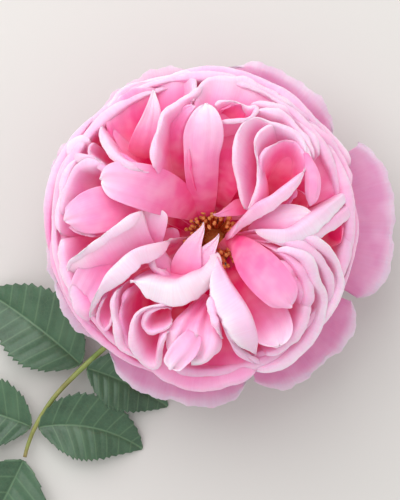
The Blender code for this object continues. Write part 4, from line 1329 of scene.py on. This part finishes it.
def make_studio():
    """Plain pale floor, even light all round, one large soft light, and the camera."""
    stage = bpy.context.scene.rose_stage
    bpy.ops.mesh.primitive_plane_add(size=FLOOR_SIZE, location=(0.0, 0.0, 0.0))
    floor = bpy.context.object
    floor.name = "floor"
    made, tree, shader = empty_material("Matt pale floor")
    feed(tree, shader, {"Base Color": colours().floor, "Roughness": 0.9})
    floor.data.materials.append(made)
    lamp = bpy.data.lights.new("key", "AREA")
    lamp.energy = stage.key
    lamp.size = KEY_SIZE
    key = bpy.data.objects.new("key", lamp)
    key.location = KEY_AT
    bpy.context.scene.collection.objects.link(key)
    aim = key.constraints.new("TRACK_TO")
    aim.target = floor
    aim.track_axis = "TRACK_NEGATIVE_Z"
    aim.up_axis = "UP_Y"
    world = bpy.data.worlds.new("even light")
    world.use_nodes = True
    backdrop = world.node_tree.nodes["Background"]
    backdrop.inputs["Color"].default_value = (1.0, 1.0, 1.0, 1.0)
    backdrop.inputs["Strength"].default_value = stage.fill
    bpy.context.scene.world = world
    lens = bpy.data.cameras.new("camera")
    lens.sensor_fit = "VERTICAL"
    lens.sensor_height = SENSOR
    lens.lens = SENSOR * stage.height / stage.view
    camera = bpy.data.objects.new("camera", lens)
    below = lay(np.array([*SHEET_AT, SHEET_LEVEL]))
    camera.location = (below[0], below[1], below[2] + stage.height)
    bpy.context.scene.collection.objects.link(camera)
    bpy.context.scene.camera = camera
    bpy.context.scene.view_settings.view_transform = "Standard"


class RoseQuarters(bpy.types.Operator):
    """Makes the seven masses of inner petals."""
    bl_idname = "rose.quarters"
    bl_label = "Inner petals"

    def execute(self, context):
        make_quarters()
        return {"FINISHED"}


class RoseCups(bpy.types.Operator):
    """Makes the petals of the ball."""
    bl_idname = "rose.cups"
    bl_label = "Ball petals"

    def execute(self, context):
        make_cups()
        return {"FINISHED"}


class RoseGuards(bpy.types.Operator):
    """Makes the skirt of outer petals."""
    bl_idname = "rose.guards"
    bl_label = "Skirt petals"

    def execute(self, context):
        make_guards()
        return {"FINISHED"}


class RoseStamens(bpy.types.Operator):
    """Makes the stamens."""
    bl_idname = "rose.stamens"
    bl_label = "Stamens"

    def execute(self, context):
        make_stamens()
        return {"FINISHED"}


class RoseStem(bpy.types.Operator):
    """Makes hip, stem and sepals."""
    bl_idname = "rose.stem"
    bl_label = "Hip, stem and sepals"

    def execute(self, context):
        make_stem()
        make_sepals()
        return {"FINISHED"}


class RoseLeaf(bpy.types.Operator):
    """Makes the compound leaf."""
    bl_idname = "rose.leaf"
    bl_label = "Leaf"

    def execute(self, context):
        make_leaf()
        return {"FINISHED"}


class RoseStudio(bpy.types.Operator):
    """Makes floor, light and camera."""
    bl_idname = "rose.studio"
    bl_label = "Studio"

    def execute(self, context):
        make_studio()
        return {"FINISHED"}


OPERATORS = (RoseStem, RoseLeaf, RoseStamens, RoseGuards, RoseCups, RoseQuarters, RoseStudio)


class RosePanel(bpy.types.Panel):
    """Lists the groups of pieces with their sizes and colours."""
    bl_label = "Garden rose"
    bl_idname = "VIEW3D_PT_rose"
    bl_space_type = "VIEW_3D"
    bl_region_type = "UI"
    bl_category = "Rose"

    def draw(self, context):
        for operator in OPERATORS:
            self.layout.operator(operator.bl_idname)
        for group in (context.scene.rose_sizes, context.scene.rose_colours,
                      context.scene.rose_stage):
            box = self.layout.box()
            for name in group.__annotations__:
                box.prop(group, name)


CLASSES = (RoseSizes, RoseColours, RoseStage, *OPERATORS, RosePanel)


def register():
    """Registers the classes and hangs the property groups on the scene."""
    for each in CLASSES:
        bpy.utils.register_class(each)
    bpy.types.Scene.rose_sizes = PointerProperty(type=RoseSizes)
    bpy.types.Scene.rose_colours = PointerProperty(type=RoseColours)
    bpy.types.Scene.rose_stage = PointerProperty(type=RoseStage)


def unregister():
    """Takes the property groups and classes away again."""
    del bpy.types.Scene.rose_sizes
    del bpy.types.Scene.rose_colours
    del bpy.types.Scene.rose_stage
    for each in reversed(CLASSES):
        bpy.utils.unregister_class(each)


def main():
    """Makes every piece and the studio."""
    register()
    for operator in OPERATORS:
        getattr(bpy.ops.rose, operator.bl_idname.split(".")[1])()


if __name__ == "__main__":
    main()
